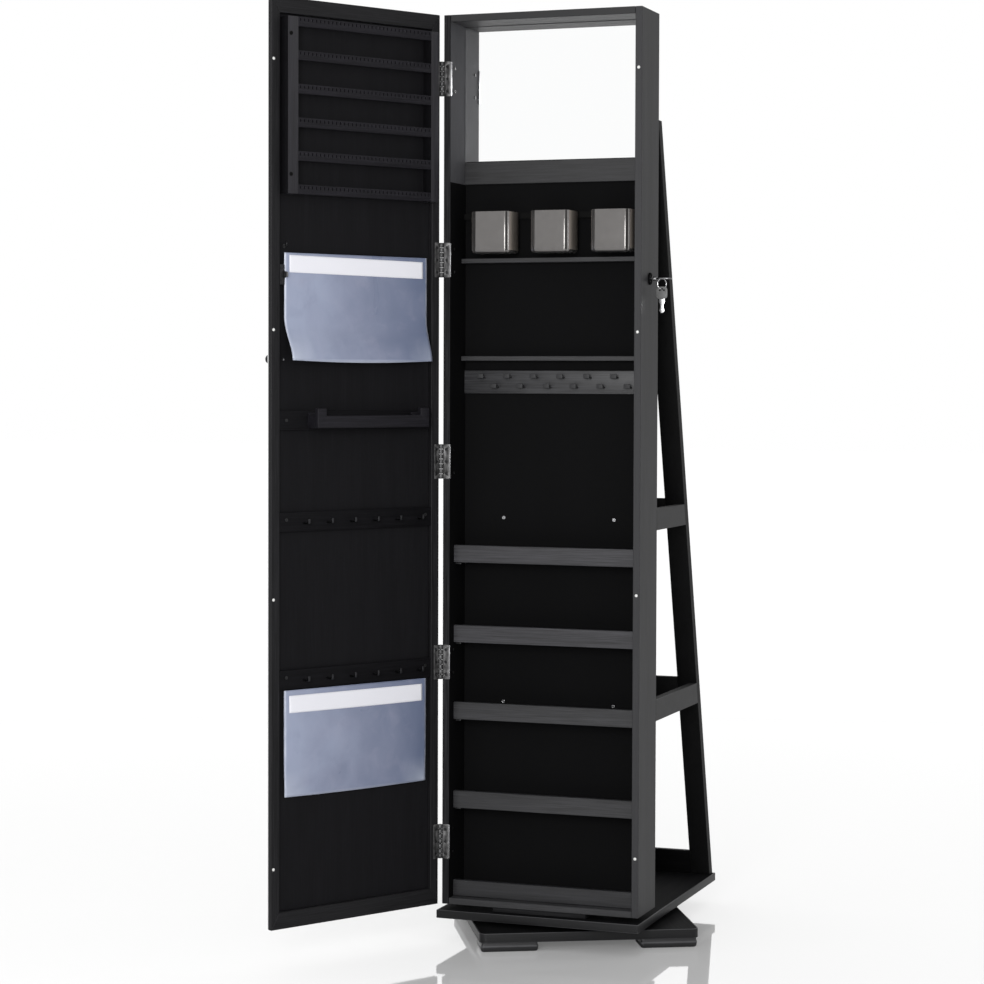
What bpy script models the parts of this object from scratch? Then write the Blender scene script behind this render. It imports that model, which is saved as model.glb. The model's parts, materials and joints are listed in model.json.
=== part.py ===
"""Rotating jewelry armoire.

A tall, narrow cabinet with a hinged mirror door stands on the front of a turntable plate. Two
leaning legs carry open trays behind it. The plate turns on a ring bearing over a square base.

The cabinet frame used for all places below: X runs right from the left panel's outer face, Y runs
back from the front edges of the side panels, Z runs up from the floor. Door pieces are placed as if
the door were closed; their hinge frame then swings them open. The whole is moved at the end so
that the origin lies on the floor under the centre of the object's box.
"""
import math

import bmesh
import bpy
from mathutils import Matrix, Vector

# Clearances
FIT_GAP = 0.0003             # between pieces that touch
RUNNING_GAP = 0.0006         # between the bearing ring and the plate
SWING_GAP = 0.0024           # between the closed door's frame and the panels' front edges
PLUG_GAP = 0.0003            # round the turning lock plug
SINK = 0.001                 # how far a fused detail reaches into what it is fused to
EDGE = 0.0006                # softened edges of boards

# Cabinet
CABINET_WIDTH = 0.355
CABINET_HEIGHT = 1.600
CABINET_DEPTH = 0.102
PANEL_THICKNESS = 0.012
BACK_RECESS = 0.0207         # from the panels' rear edges in to the back panel
BACK_PANEL_THICKNESS = 0.006
BOTTOM_BOARD_THICKNESS = 0.011

# Base, bearing and plate
FOOT_HEIGHT = 0.0158
FOOT_LENGTH = 0.098
FOOT_WIDTH = 0.060
FOOT_INSET = 0.003
BASE_SIZE = 0.380
BASE_CORNER = 0.012
BASE_THICKNESS = 0.0164
BASE_TURN = math.radians(27.5)
BEARING_HEIGHT = 0.009
BEARING_RADIUS = 0.130
BEARING_RING_WIDTH = 0.030
PLATE_THICKNESS = 0.0145
PLATE_DEPTH = 0.500
PLATE_FRONT_REACH = 0.015
PLATE_SIDE_REACH = 0.0050
SWIVEL_SHARE = 0.398         # swivel axis, as a share of the plate's depth from its front
SPACER_HEIGHT = 0.008
SPACER_WIDTH_SHARE = 0.473

# Inside of the cabinet; levels are shares of the cabinet's height above its bottom
MIRROR_RAIL_LEVEL_SHARE = 0.8138
MIRROR_RAIL_HEIGHT = 0.039
MIRROR_RAIL_THICKNESS = 0.0045
INNER_MIRROR_THICKNESS = 0.0040
LEDGE_LEVEL_SHARES = (0.7243, 0.6139)
LEDGE_THICKNESS = 0.008
LEDGE_DEPTH = 0.0205
SHELF_LEVEL_SHARES = (0.3861, 0.2956, 0.2083, 0.1074)
SHELF_FRONT_SHARE = 0.280    # of the inside depth
SHELF_RAIL_HEIGHT = 0.030
SHELF_RAIL_THICKNESS = 0.010
SHELF_BOARD_THICKNESS = 0.008
BOTTOM_RAIL_HEIGHT = 0.0277

HOOK_STRIP_LEVEL_SHARE = 0.5768
HOOK_STRIP_HEIGHT = 0.040
HOOK_STRIP_THICKNESS = 0.0042
HOOKS_PER_ROW = 6
HOOK_PITCH_SHARE = 0.1464    # of the inside width
HOOK_START_SHARE = 0.1050
HOOK_ROW_SHARES = (0.70, 0.27)    # heights of the two rows, of the strip's height
HOOK_REACH = 0.015
HOOK_TIP = 0.009
HOOK_WIRE = 0.0028
HOOK_WIDTH = 0.006

# Cups on their rail
CUP_COUNT = 3
CUP_WIDTH = 0.067
CUP_DEPTH = 0.055
CUP_HEIGHT = 0.072
CUP_WALL = 0.0018
CUP_FLOOR = 0.002
CUP_CORNER = 0.0125
CUP_PITCH_SHARE = 0.3262     # of the inside width
CUP_SIDE_SHIFT = 0.0055      # of the row of cups, to the right along its rail
CUP_LIFT_OFF_LEDGE = 0.007
CUP_HOOK_WIDTH = 0.024
CUP_HOOK_DROP = 0.012
CUP_HOOK_SHEET = 0.0012
CUP_RAIL_THICKNESS = 0.0030
CUP_RAIL_HEIGHT = 0.010
CUP_RAIL_STAND = 0.0035      # free space behind the rail
CUP_RAIL_END = 0.008
CUP_SLACK = 0.0005

# Legs and rear trays
LEG_WIDTH = 0.036
LEG_THICKNESS = 0.020        # measured along Y
LEG_TOP_LEVEL_SHARE = 0.8822
LEG_FOOT_INSET = 0.003
LEG_TOP_CUT = 0.0025         # cut from the leg's top so that it lies on the panel
TRAY_LEVEL_SHARES = (0.4245, 0.2100)
TRAY_RAIL_HEIGHT = 0.037
TRAY_RAIL_THICKNESS = 0.012
TRAY_BACK_RISE = 0.010
TRAY_BOARD_THICKNESS = 0.008
TRAY_BOARD_RISE = 0.001       # of the board above its rails' lower edges
REAR_RAIL_HEIGHT = 0.044

# Door
DOOR_OPENING = math.radians(120.0)
DOOR_THICKNESS = 0.013
DOOR_SIDE_CUT = 0.002        # how much narrower than the cabinet
DOOR_STILE_WIDTH = 0.0165
DOOR_TOP_RAIL = 0.026
DOOR_BOTTOM_RAIL = 0.028
MIRROR_THICKNESS = 0.003
MIRROR_MARGIN = 0.001
DOOR_BOARD_THICKNESS = 0.0027
DOOR_AXIS_X = -0.0035
DOOR_AXIS_Y = -0.0012

HINGE_LEVEL_SHARES = (0.9289, 0.7264, 0.5004, 0.2742, 0.0710)
HINGE_HEIGHT = 0.060
HINGE_KNUCKLE_RADIUS = 0.0030
HINGE_SHEET = 0.0008
HINGE_LEAF_SET_IN = 0.0001   # leaf to the hinge axis plane, across the leaf
DOOR_LEAF_WIDTH = 0.011

RACK_LOW_LEVEL_SHARE = 0.7904
RACK_HIGH_LEVEL_SHARE = 0.9792
RACK_HINGE_GAP = 0.002
RACK_FREE_GAP = 0.0055
RACK_HINGE_STILE = 0.012
RACK_FREE_STILE = 0.021
RACK_DEPTH = 0.0177
RACK_BAR_COUNT = 6
RACK_BAR_HEIGHT = 0.0155
RACK_BAR_THICKNESS = 0.004

POUCH_TOP_LEVEL_SHARES = (0.7280, 0.2572)
POUCH_WIDTH_SHARE = 0.935    # of the door's opening
POUCH_HEIGHT = 0.177
POUCH_TOP_DEPTH = 0.006
POUCH_BELLY_DEPTH = 0.018
POUCH_FOLD_SHARE = 0.60      # depth of the bottom fold, of the belly's depth
POUCH_BELLY_SHARES = (0.10, 0.35)    # where the belly is fullest, of the pouch's height

BRACELET_LEVEL_SHARE = 0.5378
BRACELET_RAIL_HEIGHT = 0.032
BRACELET_BAR_HEIGHT = 0.0205
BRACELET_BAR_DEPTH = 0.010
BRACELET_STAND = 0.020
BRACELET_ARM_WIDTH = 0.018
BRACELET_ARM_HEIGHT = 0.033
BRACELET_START_SHARE = 0.090
BRACELET_END_SHARE = 0.825

DOOR_HOOK_LEVEL_SHARES = (0.4284, 0.2585)
DOOR_HOOK_RAIL_HEIGHT = 0.032
DOOR_HOOK_PITCH_SHARE = 0.1513
DOOR_HOOK_START_SHARE = 0.076
DOOR_HOOK_ROW_SHARE = 0.42   # of the rail's height

KNOB_LEVEL_SHARE = 0.6139
KNOB_INSET = 0.0165          # from the door's free edge
KNOB_RADIUS = 0.0090
KNOB_NECK = 0.0045
KNOB_LENGTH = 0.022
# Turned profile of the knob: shares of the neck or head radius, and of the length
KNOB_NECK_PROFILE = ((1.4, 0.0), (1.0, 0.15), (1.0, 0.45))
KNOB_HEAD_PROFILE = ((1.0, 0.62), (1.0, 0.88), (0.8, 1.0))

STRIKE_HEIGHT = 0.033
STRIKE_BASE = 0.0065
STRIKE_TAB = 0.010
STRIKE_TAB_THICKNESS = 0.003

# Lock in the right panel, with its key, ring and spare key
LOCK_LEVEL_SHARE = 0.7044
LOCK_DEPTH_SHARE = 0.667     # of the inside depth
LOCK_BODY_RADIUS = 0.0080
LOCK_FLANGE_RADIUS = 0.0105
LOCK_FLANGE = 0.002
LOCK_INNER_REACH = 0.005
PLUG_RADIUS = 0.0050
CAM_LENGTH = 0.026
CAM_WIDTH = 0.010
CAM_THICKNESS = 0.003
KEY_THICKNESS = 0.0024
KEY_SHANK = 0.006
KEY_SHANK_WIDTH = 0.006
KEY_BOW_RADIUS = 0.009
KEY_HOLE_RADIUS = 0.0016
KEY_HOLE_OFFSET = 0.004
RING_RADIUS = 0.009
RING_WIRE = 0.0009
SPARE_HEAD_WIDTH = 0.018
SPARE_HEAD_HEIGHT = 0.021
SPARE_HEAD_CORNER_SHARE = 0.30    # of the head's width
SPARE_HOLE_DROP = 0.0045
SPARE_BLADE_WIDTH = 0.006
SPARE_BLADE_LENGTH = 0.024

ROUND_STEPS = 24
FINE_STEPS = 16

# Places that follow from the sizes above
BASE_LOW = FOOT_HEIGHT + FIT_GAP
BASE_HIGH = BASE_LOW + BASE_THICKNESS
PLATE_LOW = BASE_HIGH + BEARING_HEIGHT
PLATE_HIGH = PLATE_LOW + PLATE_THICKNESS
CABINET_LOW = PLATE_HIGH + SPACER_HEIGHT
INNER_LEFT = PANEL_THICKNESS + FIT_GAP
INNER_RIGHT = CABINET_WIDTH - INNER_LEFT
INNER_WIDTH = CABINET_WIDTH - 2 * PANEL_THICKNESS
INNER_DEPTH = CABINET_DEPTH - BACK_RECESS - BACK_PANEL_THICKNESS - FIT_GAP
PLATE_FRONT = -PLATE_FRONT_REACH
PLATE_BACK = PLATE_FRONT + PLATE_DEPTH
MIDDLE_X = CABINET_WIDTH / 2
SWIVEL = Vector((MIDDLE_X, PLATE_FRONT + SWIVEL_SHARE * PLATE_DEPTH, 0.0))

DOOR_WIDTH = CABINET_WIDTH - DOOR_SIDE_CUT
DOOR_INNER_Y = -SWING_GAP
DOOR_OUTER_Y = -SWING_GAP - DOOR_THICKNESS
DOOR_FRAME_Y = DOOR_OUTER_Y + MIRROR_THICKNESS + FIT_GAP
DOOR_BOARD_Y = DOOR_FRAME_Y + DOOR_BOARD_THICKNESS
DOOR_FIT_Y = DOOR_BOARD_Y + FIT_GAP
DOOR_LEFT = DOOR_STILE_WIDTH + FIT_GAP
DOOR_RIGHT = DOOR_WIDTH - DOOR_LEFT
DOOR_CLEAR_WIDTH = DOOR_RIGHT - DOOR_LEFT
POUCH_WIDTH = POUCH_WIDTH_SHARE * DOOR_CLEAR_WIDTH
STRIKE_WIDTH = (DOOR_CLEAR_WIDTH - POUCH_WIDTH) / 2 - 3 * FIT_GAP
DOOR_AXIS = Vector((DOOR_AXIS_X, DOOR_AXIS_Y, 0.0))


def level(share):
    """Height above the floor of a share of the cabinet's height."""
    return CABINET_LOW + share * (CABINET_HEIGHT - CABINET_LOW)


LOCK = Vector((CABINET_WIDTH, LOCK_DEPTH_SHARE * INNER_DEPTH, level(LOCK_LEVEL_SHARE)))
PLUG_OUT = CABINET_WIDTH + FIT_GAP + LOCK_FLANGE + FIT_GAP
KEY_BOW_X = PLUG_OUT + KEY_SHANK + KEY_BOW_RADIUS
RING_PIVOT = Vector((KEY_BOW_X + KEY_HOLE_OFFSET, LOCK.y, LOCK.z))
SPARE_PIVOT = RING_PIVOT - Vector((0.0, 0.0, 2 * RING_RADIUS))

LEG_TOP = level(LEG_TOP_LEVEL_SHARE)
LEG_FOOT_Y = PLATE_BACK - LEG_FOOT_INSET
LEG_TOP_Y = CABINET_DEPTH + LEG_THICKNESS - LEG_TOP_CUT
LEG_SLOPE = (LEG_FOOT_Y - LEG_TOP_Y) / (LEG_TOP - PLATE_HIGH)

# Colour, roughness and metallic share of each kind of surface
SURFACES = {
    "wood": ((0.010, 0.010, 0.011), 0.48, 0.0),
    "inside": ((0.006, 0.006, 0.007), 0.55, 0.0),
    "foot": ((0.008, 0.008, 0.008), 0.65, 0.0),
    "steel": ((0.16, 0.16, 0.165), 0.35, 1.0),
    "gunmetal": ((0.045, 0.045, 0.048), 0.38, 1.0),
    "nickel": ((0.55, 0.55, 0.56), 0.25, 1.0),
    "smoke": ((0.105, 0.098, 0.088), 0.30, 0.7),
    "mirror": ((0.88, 0.89, 0.90), 0.03, 1.0),
    "mesh": ((0.30, 0.33, 0.42), 0.60, 0.0),
    "keyhead": ((0.010, 0.010, 0.010), 0.40, 0.0),
}


def clear_scene():
    for obj in list(bpy.data.objects):
        bpy.data.objects.remove(obj, do_unlink=True)


def new_collection(name):
    collection = bpy.data.collections.new(name)
    bpy.context.scene.collection.children.link(collection)
    return collection


clear_scene()
PARTS = new_collection("rotating_jewelry_armoire")
TOOLS = new_collection("joining_shapes")


class Frame:
    """An empty on a joint axis. Places of its pieces are given in the closed cabinet."""

    def __init__(self, name, origin, parent=None, turn=0.0):
        self.origin = origin
        self.empty = bpy.data.objects.new(name, None)
        PARTS.objects.link(self.empty)
        if parent is None:
            self.empty.location = origin
        else:
            self.empty.parent = parent.empty
            self.empty.location = origin - parent.origin
        self.empty.rotation_euler = (0.0, 0.0, turn)


def surface(name, kind):
    colour, roughness, metallic = SURFACES[kind]
    material = bpy.data.materials.new(name)
    material.use_nodes = True
    shader = material.node_tree.nodes["Principled BSDF"]
    shader.inputs["Base Color"].default_value = (*colour, 1.0)
    shader.inputs["Roughness"].default_value = roughness
    shader.inputs["Metallic"].default_value = metallic
    return material


def tidy_mesh(mesh):
    """Welds doubled corners, joins flat faces and turns all faces outward."""
    bm = bmesh.new()
    bm.from_mesh(mesh)
    bmesh.ops.remove_doubles(bm, verts=bm.verts, dist=1e-6)
    bmesh.ops.dissolve_limit(bm, angle_limit=math.radians(0.5), verts=bm.verts, edges=bm.edges)
    bmesh.ops.recalc_face_normals(bm, faces=bm.faces)
    bm.to_mesh(mesh)
    bm.free()


def mesh_of(holder):
    """Bakes a shape with its modifiers into one clean mesh and drops the holder."""
    bpy.context.scene.collection.objects.link(holder)
    graph = bpy.context.evaluated_depsgraph_get()
    mesh = bpy.data.meshes.new_from_object(holder.evaluated_get(graph))
    bpy.data.objects.remove(holder, do_unlink=True)
    tidy_mesh(mesh)
    return mesh


def box_mesh(size):
    bm = bmesh.new()
    bmesh.ops.create_cube(bm, size=1.0)
    bmesh.ops.scale(bm, vec=size, verts=bm.verts)
    mesh = bpy.data.meshes.new("box")
    bm.to_mesh(mesh)
    bm.free()
    return mesh


# How a flat outline stands when it is drawn out along an axis
ALONG = {
    "X": Matrix(((0, 0, 1), (1, 0, 0), (0, 1, 0))).to_4x4(),
    "Y": Matrix(((1, 0, 0), (0, 0, -1), (0, 1, 0))).to_4x4(),
    "Z": Matrix.Identity(4),
}


def prism_mesh(outline, length, axis):
    """A flat outline drawn out along an axis, its two sides at half the length."""
    curve = bpy.data.curves.new("outline", "CURVE")
    curve.dimensions = "2D"
    curve.fill_mode = "BOTH"
    curve.extrude = length / 2
    spline = curve.splines.new("POLY")
    spline.points.add(len(outline) - 1)
    for point, (across, up) in zip(spline.points, outline):
        point.co = (across, up, 0.0, 1.0)
    spline.use_cyclic_u = True
    mesh = mesh_of(bpy.data.objects.new("outline", curve))
    mesh.transform(ALONG[axis])
    return mesh


def turned_mesh(profile, closed, steps=ROUND_STEPS):
    """A profile of (radius, height) points turned about Z."""
    points = [(radius, 0.0, height) for radius, height in profile]
    edges = [(i, i + 1) for i in range(len(points) - 1)]
    if closed:
        edges.append((len(points) - 1, 0))
    mesh = bpy.data.meshes.new("profile")
    mesh.from_pydata(points, edges, [])
    holder = bpy.data.objects.new("profile", mesh)
    screw = holder.modifiers.new("turn", "SCREW")
    screw.steps = steps
    screw.render_steps = steps
    screw.use_merge_vertices = True
    screw.merge_threshold = 0.00001
    return mesh_of(holder)


def add(name, mesh, place, frame, kind):
    obj = bpy.data.objects.new(name, mesh)
    PARTS.objects.link(obj)
    obj.parent = frame.empty
    obj.location = Vector(place) - frame.origin
    mesh.materials.append(surface(name, kind))
    return obj


def soften(obj, width=EDGE):
    bevel = obj.modifiers.new("soft_edges", "BEVEL")
    bevel.width = width
    bevel.segments = 1
    bevel.limit_method = "ANGLE"
    bevel.angle_limit = math.radians(40.0)
    return obj


def smooth(obj):
    for face in obj.data.polygons:
        face.use_smooth = len(face.vertices) == 4
    return obj


def box(name, low, high, frame, kind="wood", soft=True):
    low, high = Vector(low), Vector(high)
    obj = add(name, box_mesh(high - low), (low + high) / 2, frame, kind)
    return soften(obj) if soft else obj


def prism(name, outline, axis, low, high, frame, kind="wood", soft=True):
    """A board or bracket: its outline in the two other axes, from low to high along the axis."""
    centre = [(min(values) + max(values)) / 2 for values in zip(*outline)]
    flat = [(across - centre[0], up - centre[1]) for across, up in outline]
    place = ALONG[axis] @ Vector((centre[0], centre[1], 0.0))
    place["XYZ".index(axis)] = (low + high) / 2
    obj = add(name, prism_mesh(flat, high - low, axis), place, frame, kind)
    return soften(obj) if soft else obj


def tool(obj):
    """Keeps a shape only for joining to, or cutting from, another piece."""
    PARTS.objects.unlink(obj)
    TOOLS.objects.link(obj)
    obj.hide_render = True
    obj.display_type = "WIRE"
    return obj


def combine(obj, operation, *tools):
    for other in tools:
        step = obj.modifiers.new(operation.lower(), "BOOLEAN")
        step.operation = operation
        step.solver = "EXACT"
        step.object = tool(other)
    return obj


def circle(radius, steps, centre=(0.0, 0.0)):
    return [(centre[0] + radius * math.cos(2 * math.pi * i / steps),
             centre[1] + radius * math.sin(2 * math.pi * i / steps)) for i in range(steps)]


def rounded_rectangle(width, depth, corner, steps=4):
    points = []
    corners = ((1, 1), (-1, 1), (-1, -1), (1, -1))
    for quarter, (side_x, side_y) in enumerate(corners):
        for step in range(steps + 1):
            angle = math.pi / 2 * (quarter + step / steps)
            points.append((side_x * (width / 2 - corner) + corner * math.cos(angle),
                           side_y * (depth / 2 - corner) + corner * math.sin(angle)))
    return points


def build_base(base):
    half = BASE_SIZE / 2
    outline = [(SWIVEL.x + across, SWIVEL.y + up) for across, up in
               rounded_rectangle(BASE_SIZE, BASE_SIZE, BASE_CORNER)]
    prism("base_board", outline, "Z", BASE_LOW, BASE_HIGH, base)
    number = 0
    for side_y in (-1, 1):
        for side_x in (-1, 1):
            number += 1
            outer = half - FOOT_INSET
            far = Vector((side_x * outer, side_y * outer, 0.0))
            near = Vector((side_x * (outer - FOOT_LENGTH), side_y * (outer - FOOT_WIDTH), 0.0))
            low = Vector((min(far.x, near.x), min(far.y, near.y), 0.0))
            high = Vector((max(far.x, near.x), max(far.y, near.y), FOOT_HEIGHT))
            box(f"base_foot_{number}", SWIVEL + low, SWIVEL + high, base, "foot")
    low, high = BASE_HIGH + FIT_GAP, PLATE_LOW - RUNNING_GAP
    inner = BEARING_RADIUS - BEARING_RING_WIDTH
    profile = [(inner, low), (BEARING_RADIUS, low), (BEARING_RADIUS, high), (inner, high)]
    add("bearing_ring", turned_mesh(profile, True, 2 * ROUND_STEPS), SWIVEL, base, "steel")


def build_turntable(turntable):
    box("turntable_plate", (-PLATE_SIDE_REACH, PLATE_FRONT, PLATE_LOW),
        (CABINET_WIDTH + PLATE_SIDE_REACH, PLATE_BACK, PLATE_HIGH), turntable)
    half = SPACER_WIDTH_SHARE * CABINET_WIDTH / 2
    box("cabinet_spacer", (MIDDLE_X - half, 0.0, PLATE_HIGH + FIT_GAP),
        (MIDDLE_X + half, INNER_DEPTH, CABINET_LOW - FIT_GAP), turntable)


def build_case(case):
    box("left_panel", (0.0, 0.0, CABINET_LOW), (PANEL_THICKNESS, CABINET_DEPTH, CABINET_HEIGHT), case)
    right = box("right_panel", (CABINET_WIDTH - PANEL_THICKNESS, 0.0, CABINET_LOW),
                (CABINET_WIDTH, CABINET_DEPTH, CABINET_HEIGHT), case)
    hole = prism("lock_hole", circle(LOCK_BODY_RADIUS + FIT_GAP, ROUND_STEPS, (LOCK.y, LOCK.z)), "X",
                 CABINET_WIDTH - 2 * PANEL_THICKNESS, CABINET_WIDTH + PANEL_THICKNESS, case, soft=False)
    combine(right, "DIFFERENCE", hole)

    ceiling = CABINET_HEIGHT - PANEL_THICKNESS
    box("top_board", (INNER_LEFT, 0.0, ceiling), (INNER_RIGHT, CABINET_DEPTH, CABINET_HEIGHT), case)
    box("bottom_board", (INNER_LEFT, 0.0, CABINET_LOW),
        (INNER_RIGHT, INNER_DEPTH, CABINET_LOW + BOTTOM_BOARD_THICKNESS), case)
    rail_low = level(MIRROR_RAIL_LEVEL_SHARE)
    rail_high = rail_low + MIRROR_RAIL_HEIGHT
    box("mirror_rail", (INNER_LEFT, INNER_DEPTH - MIRROR_RAIL_THICKNESS, rail_low),
        (INNER_RIGHT, INNER_DEPTH, rail_high), case)
    box("inner_mirror", (INNER_LEFT, INNER_DEPTH - INNER_MIRROR_THICKNESS, rail_high + FIT_GAP),
        (INNER_RIGHT, INNER_DEPTH, ceiling - FIT_GAP), case, "mirror")
    back_front = INNER_DEPTH + FIT_GAP
    box("back_panel", (INNER_LEFT, back_front, CABINET_LOW + FIT_GAP),
        (INNER_RIGHT, back_front + BACK_PANEL_THICKNESS, ceiling - FIT_GAP), case, "inside")

    for number, share in enumerate(LEDGE_LEVEL_SHARES, 1):
        box(f"upper_ledge_{number}", (INNER_LEFT, INNER_DEPTH - LEDGE_DEPTH, level(share)),
            (INNER_RIGHT, INNER_DEPTH, level(share) + LEDGE_THICKNESS), case)
    build_shelves(case)
    build_hook_strip(case)


def build_shelves(case):
    front = SHELF_FRONT_SHARE * INNER_DEPTH
    behind = front + SHELF_RAIL_THICKNESS
    for number, share in enumerate(SHELF_LEVEL_SHARES, 1):
        low = level(share)
        outline = [(front, low), (INNER_DEPTH, low), (INNER_DEPTH, low + SHELF_BOARD_THICKNESS),
                   (behind, low + SHELF_BOARD_THICKNESS), (behind, low + SHELF_RAIL_HEIGHT),
                   (front, low + SHELF_RAIL_HEIGHT)]
        prism(f"shelf_{number}", outline, "X", INNER_LEFT, INNER_RIGHT, case)
    floor = CABINET_LOW + BOTTOM_BOARD_THICKNESS + FIT_GAP
    box("bottom_lip_rail", (INNER_LEFT, front, floor),
        (INNER_RIGHT, behind, floor + BOTTOM_RAIL_HEIGHT), case)


def hook_row(name, starts, face_y, out, frame):
    """One shape holding a row of bent hooks; out is -1 towards the front and 1 towards the back."""
    bm = bmesh.new()
    reach = [(-SINK, 0.0), (HOOK_REACH, 0.0), (HOOK_REACH, HOOK_TIP), (HOOK_REACH - HOOK_WIRE, HOOK_TIP),
             (HOOK_REACH - HOOK_WIRE, HOOK_WIRE), (-SINK, HOOK_WIRE)]
    outline = [(out * across, up - HOOK_WIRE / 2) for across, up in reach]
    for x, z in starts:
        mesh = prism_mesh(outline, HOOK_WIDTH, "X")
        mesh.transform(Matrix.Translation((x, face_y, z)))
        bm.from_mesh(mesh)
        bpy.data.meshes.remove(mesh)
    bmesh.ops.recalc_face_normals(bm, faces=bm.faces)
    joined = bpy.data.meshes.new(name)
    bm.to_mesh(joined)
    bm.free()
    return add(name, joined, (0.0, 0.0, 0.0), frame, "gunmetal")


def build_hook_strip(case):
    low = level(HOOK_STRIP_LEVEL_SHARE)
    face = INNER_DEPTH - HOOK_STRIP_THICKNESS
    strip = box("necklace_hook_strip", (INNER_LEFT, face, low),
                (INNER_RIGHT, INNER_DEPTH, low + HOOK_STRIP_HEIGHT), case, soft=False)
    pitch = HOOK_PITCH_SHARE * INNER_WIDTH
    start = PANEL_THICKNESS + HOOK_START_SHARE * INNER_WIDTH
    starts = []
    for row, share in enumerate(HOOK_ROW_SHARES):
        height = low + share * HOOK_STRIP_HEIGHT
        starts += [(start + pitch * (i + row / 2), height) for i in range(HOOKS_PER_ROW)]
    combine(strip, "UNION", hook_row("strip_hooks", starts, face, -1, case))


def leg_front(z):
    """Y of the legs' front face at a height."""
    return LEG_FOOT_Y - LEG_THICKNESS - LEG_SLOPE * (z - PLATE_HIGH)


def build_legs(case):
    back = CABINET_DEPTH + FIT_GAP
    foot = PLATE_HIGH + FIT_GAP
    shoulder = LEG_TOP - (LEG_TOP_CUT + FIT_GAP) / LEG_SLOPE
    outline = [(back, LEG_TOP), (back, shoulder), (leg_front(foot), foot),
               (leg_front(foot) + LEG_THICKNESS, foot), (LEG_TOP_Y, LEG_TOP)]
    prism("leg_left", outline, "X", 0.0, LEG_WIDTH, case)
    prism("leg_right", outline, "X", CABINET_WIDTH - LEG_WIDTH, CABINET_WIDTH, case)
    between = (LEG_WIDTH + FIT_GAP, CABINET_WIDTH - LEG_WIDTH - FIT_GAP)
    prism("rear_bottom_rail", slanted_rail(foot, foot + REAR_RAIL_HEIGHT), "X", *between, case)
    for number, share in enumerate(TRAY_LEVEL_SHARES, 1):
        build_tray(f"rear_tray_{number}", level(share), between, case)


def slanted_rail(low, high):
    thick = TRAY_RAIL_THICKNESS
    return [(leg_front(low), low), (leg_front(low) + thick, low),
            (leg_front(high) + thick, high), (leg_front(high), high)]


def build_tray(name, low, between, case):
    """An open tray: board, front and side rails, and a higher back rail between the legs."""
    top = low + TRAY_RAIL_HEIGHT
    board_low = low + TRAY_BOARD_RISE
    board_top = board_low + TRAY_BOARD_THICKNESS
    front = INNER_DEPTH + 2 * FIT_GAP + BACK_PANEL_THICKNESS
    tray = box(name, (INNER_LEFT + FIT_GAP, front + SINK, board_low),
               (INNER_RIGHT - FIT_GAP, leg_front(board_top) - SINK, board_top), case, soft=False)
    front_rail = box(name + "_front", (INNER_LEFT, front, low),
                     (INNER_RIGHT, front + TRAY_RAIL_THICKNESS, top), case, soft=False)
    reach = box(name + "_reach",
                (between[0] + SINK, leg_front(board_top) - TRAY_RAIL_THICKNESS, board_low + SINK),
                (between[1] - SINK, leg_front(low) + TRAY_RAIL_THICKNESS / 2, board_top - SINK), case,
                soft=False)
    back_rail = prism(name + "_back", slanted_rail(low, top + TRAY_BACK_RISE), "X", *between, case,
                      soft=False)
    side = [(CABINET_DEPTH + FIT_GAP, low), (leg_front(low) - FIT_GAP, low),
            (leg_front(top) - FIT_GAP, top), (CABINET_DEPTH + FIT_GAP, top)]
    side_width = INNER_LEFT + SINK
    left = prism(name + "_left", side, "X", 0.0, side_width, case, soft=False)
    right = prism(name + "_right", side, "X", CABINET_WIDTH - side_width, CABINET_WIDTH, case, soft=False)
    combine(tray, "UNION", front_rail, reach, back_rail, left, right)


CUP_LOW = level(LEDGE_LEVEL_SHARES[0]) + LEDGE_THICKNESS + CUP_LIFT_OFF_LEDGE
CUP_HIGH = CUP_LOW + CUP_HEIGHT
CUP_RAIL_BACK = INNER_DEPTH - CUP_RAIL_STAND
CUP_RAIL_FRONT = CUP_RAIL_BACK - CUP_RAIL_THICKNESS
CUP_RAIL_TOP = CUP_HIGH - CUP_SLACK
CUP_BACK = CUP_RAIL_FRONT - CUP_SLACK


def build_cup_rail(case):
    low = CUP_RAIL_TOP - CUP_RAIL_HEIGHT
    rail = box("cup_rail", (INNER_LEFT, CUP_RAIL_FRONT, low), (INNER_RIGHT, CUP_RAIL_BACK, CUP_RAIL_TOP),
               case, "gunmetal", soft=False)
    blocks = []
    for side, left in enumerate((INNER_LEFT, INNER_RIGHT - CUP_RAIL_END)):
        blocks.append(box(f"cup_rail_end_{side}", (left, CUP_RAIL_BACK - SINK, low),
                          (left + CUP_RAIL_END, INNER_DEPTH, CUP_RAIL_TOP), case, "gunmetal", soft=False))
    combine(rail, "UNION", *blocks)


def cup_middle(number):
    steps = number - (CUP_COUNT - 1) / 2
    return MIDDLE_X + CUP_SIDE_SHIFT + steps * CUP_PITCH_SHARE * INNER_WIDTH


def build_cups(case):
    for number in range(CUP_COUNT):
        x = cup_middle(number)
        y = CUP_BACK - CUP_DEPTH / 2
        name = f"cup_{number + 1}"
        frame = Frame(name + "_lift", Vector((x, y, CUP_LOW)), case)
        outer = [(x + across, y + up) for across, up in
                 rounded_rectangle(CUP_WIDTH, CUP_DEPTH, CUP_CORNER)]
        inner = [(x + across, y + up) for across, up in rounded_rectangle(
            CUP_WIDTH - 2 * CUP_WALL, CUP_DEPTH - 2 * CUP_WALL, CUP_CORNER - CUP_WALL)]
        cup = prism(name, outer, "Z", CUP_LOW, CUP_HIGH, frame, "smoke", soft=False)
        hollow = prism(name + "_hollow", inner, "Z", CUP_LOW + CUP_FLOOR, CUP_HIGH + SINK, frame,
                       soft=False)
        combine(cup, "DIFFERENCE", hollow)
        combine(cup, "UNION", cup_hook(name, x, frame))


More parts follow.
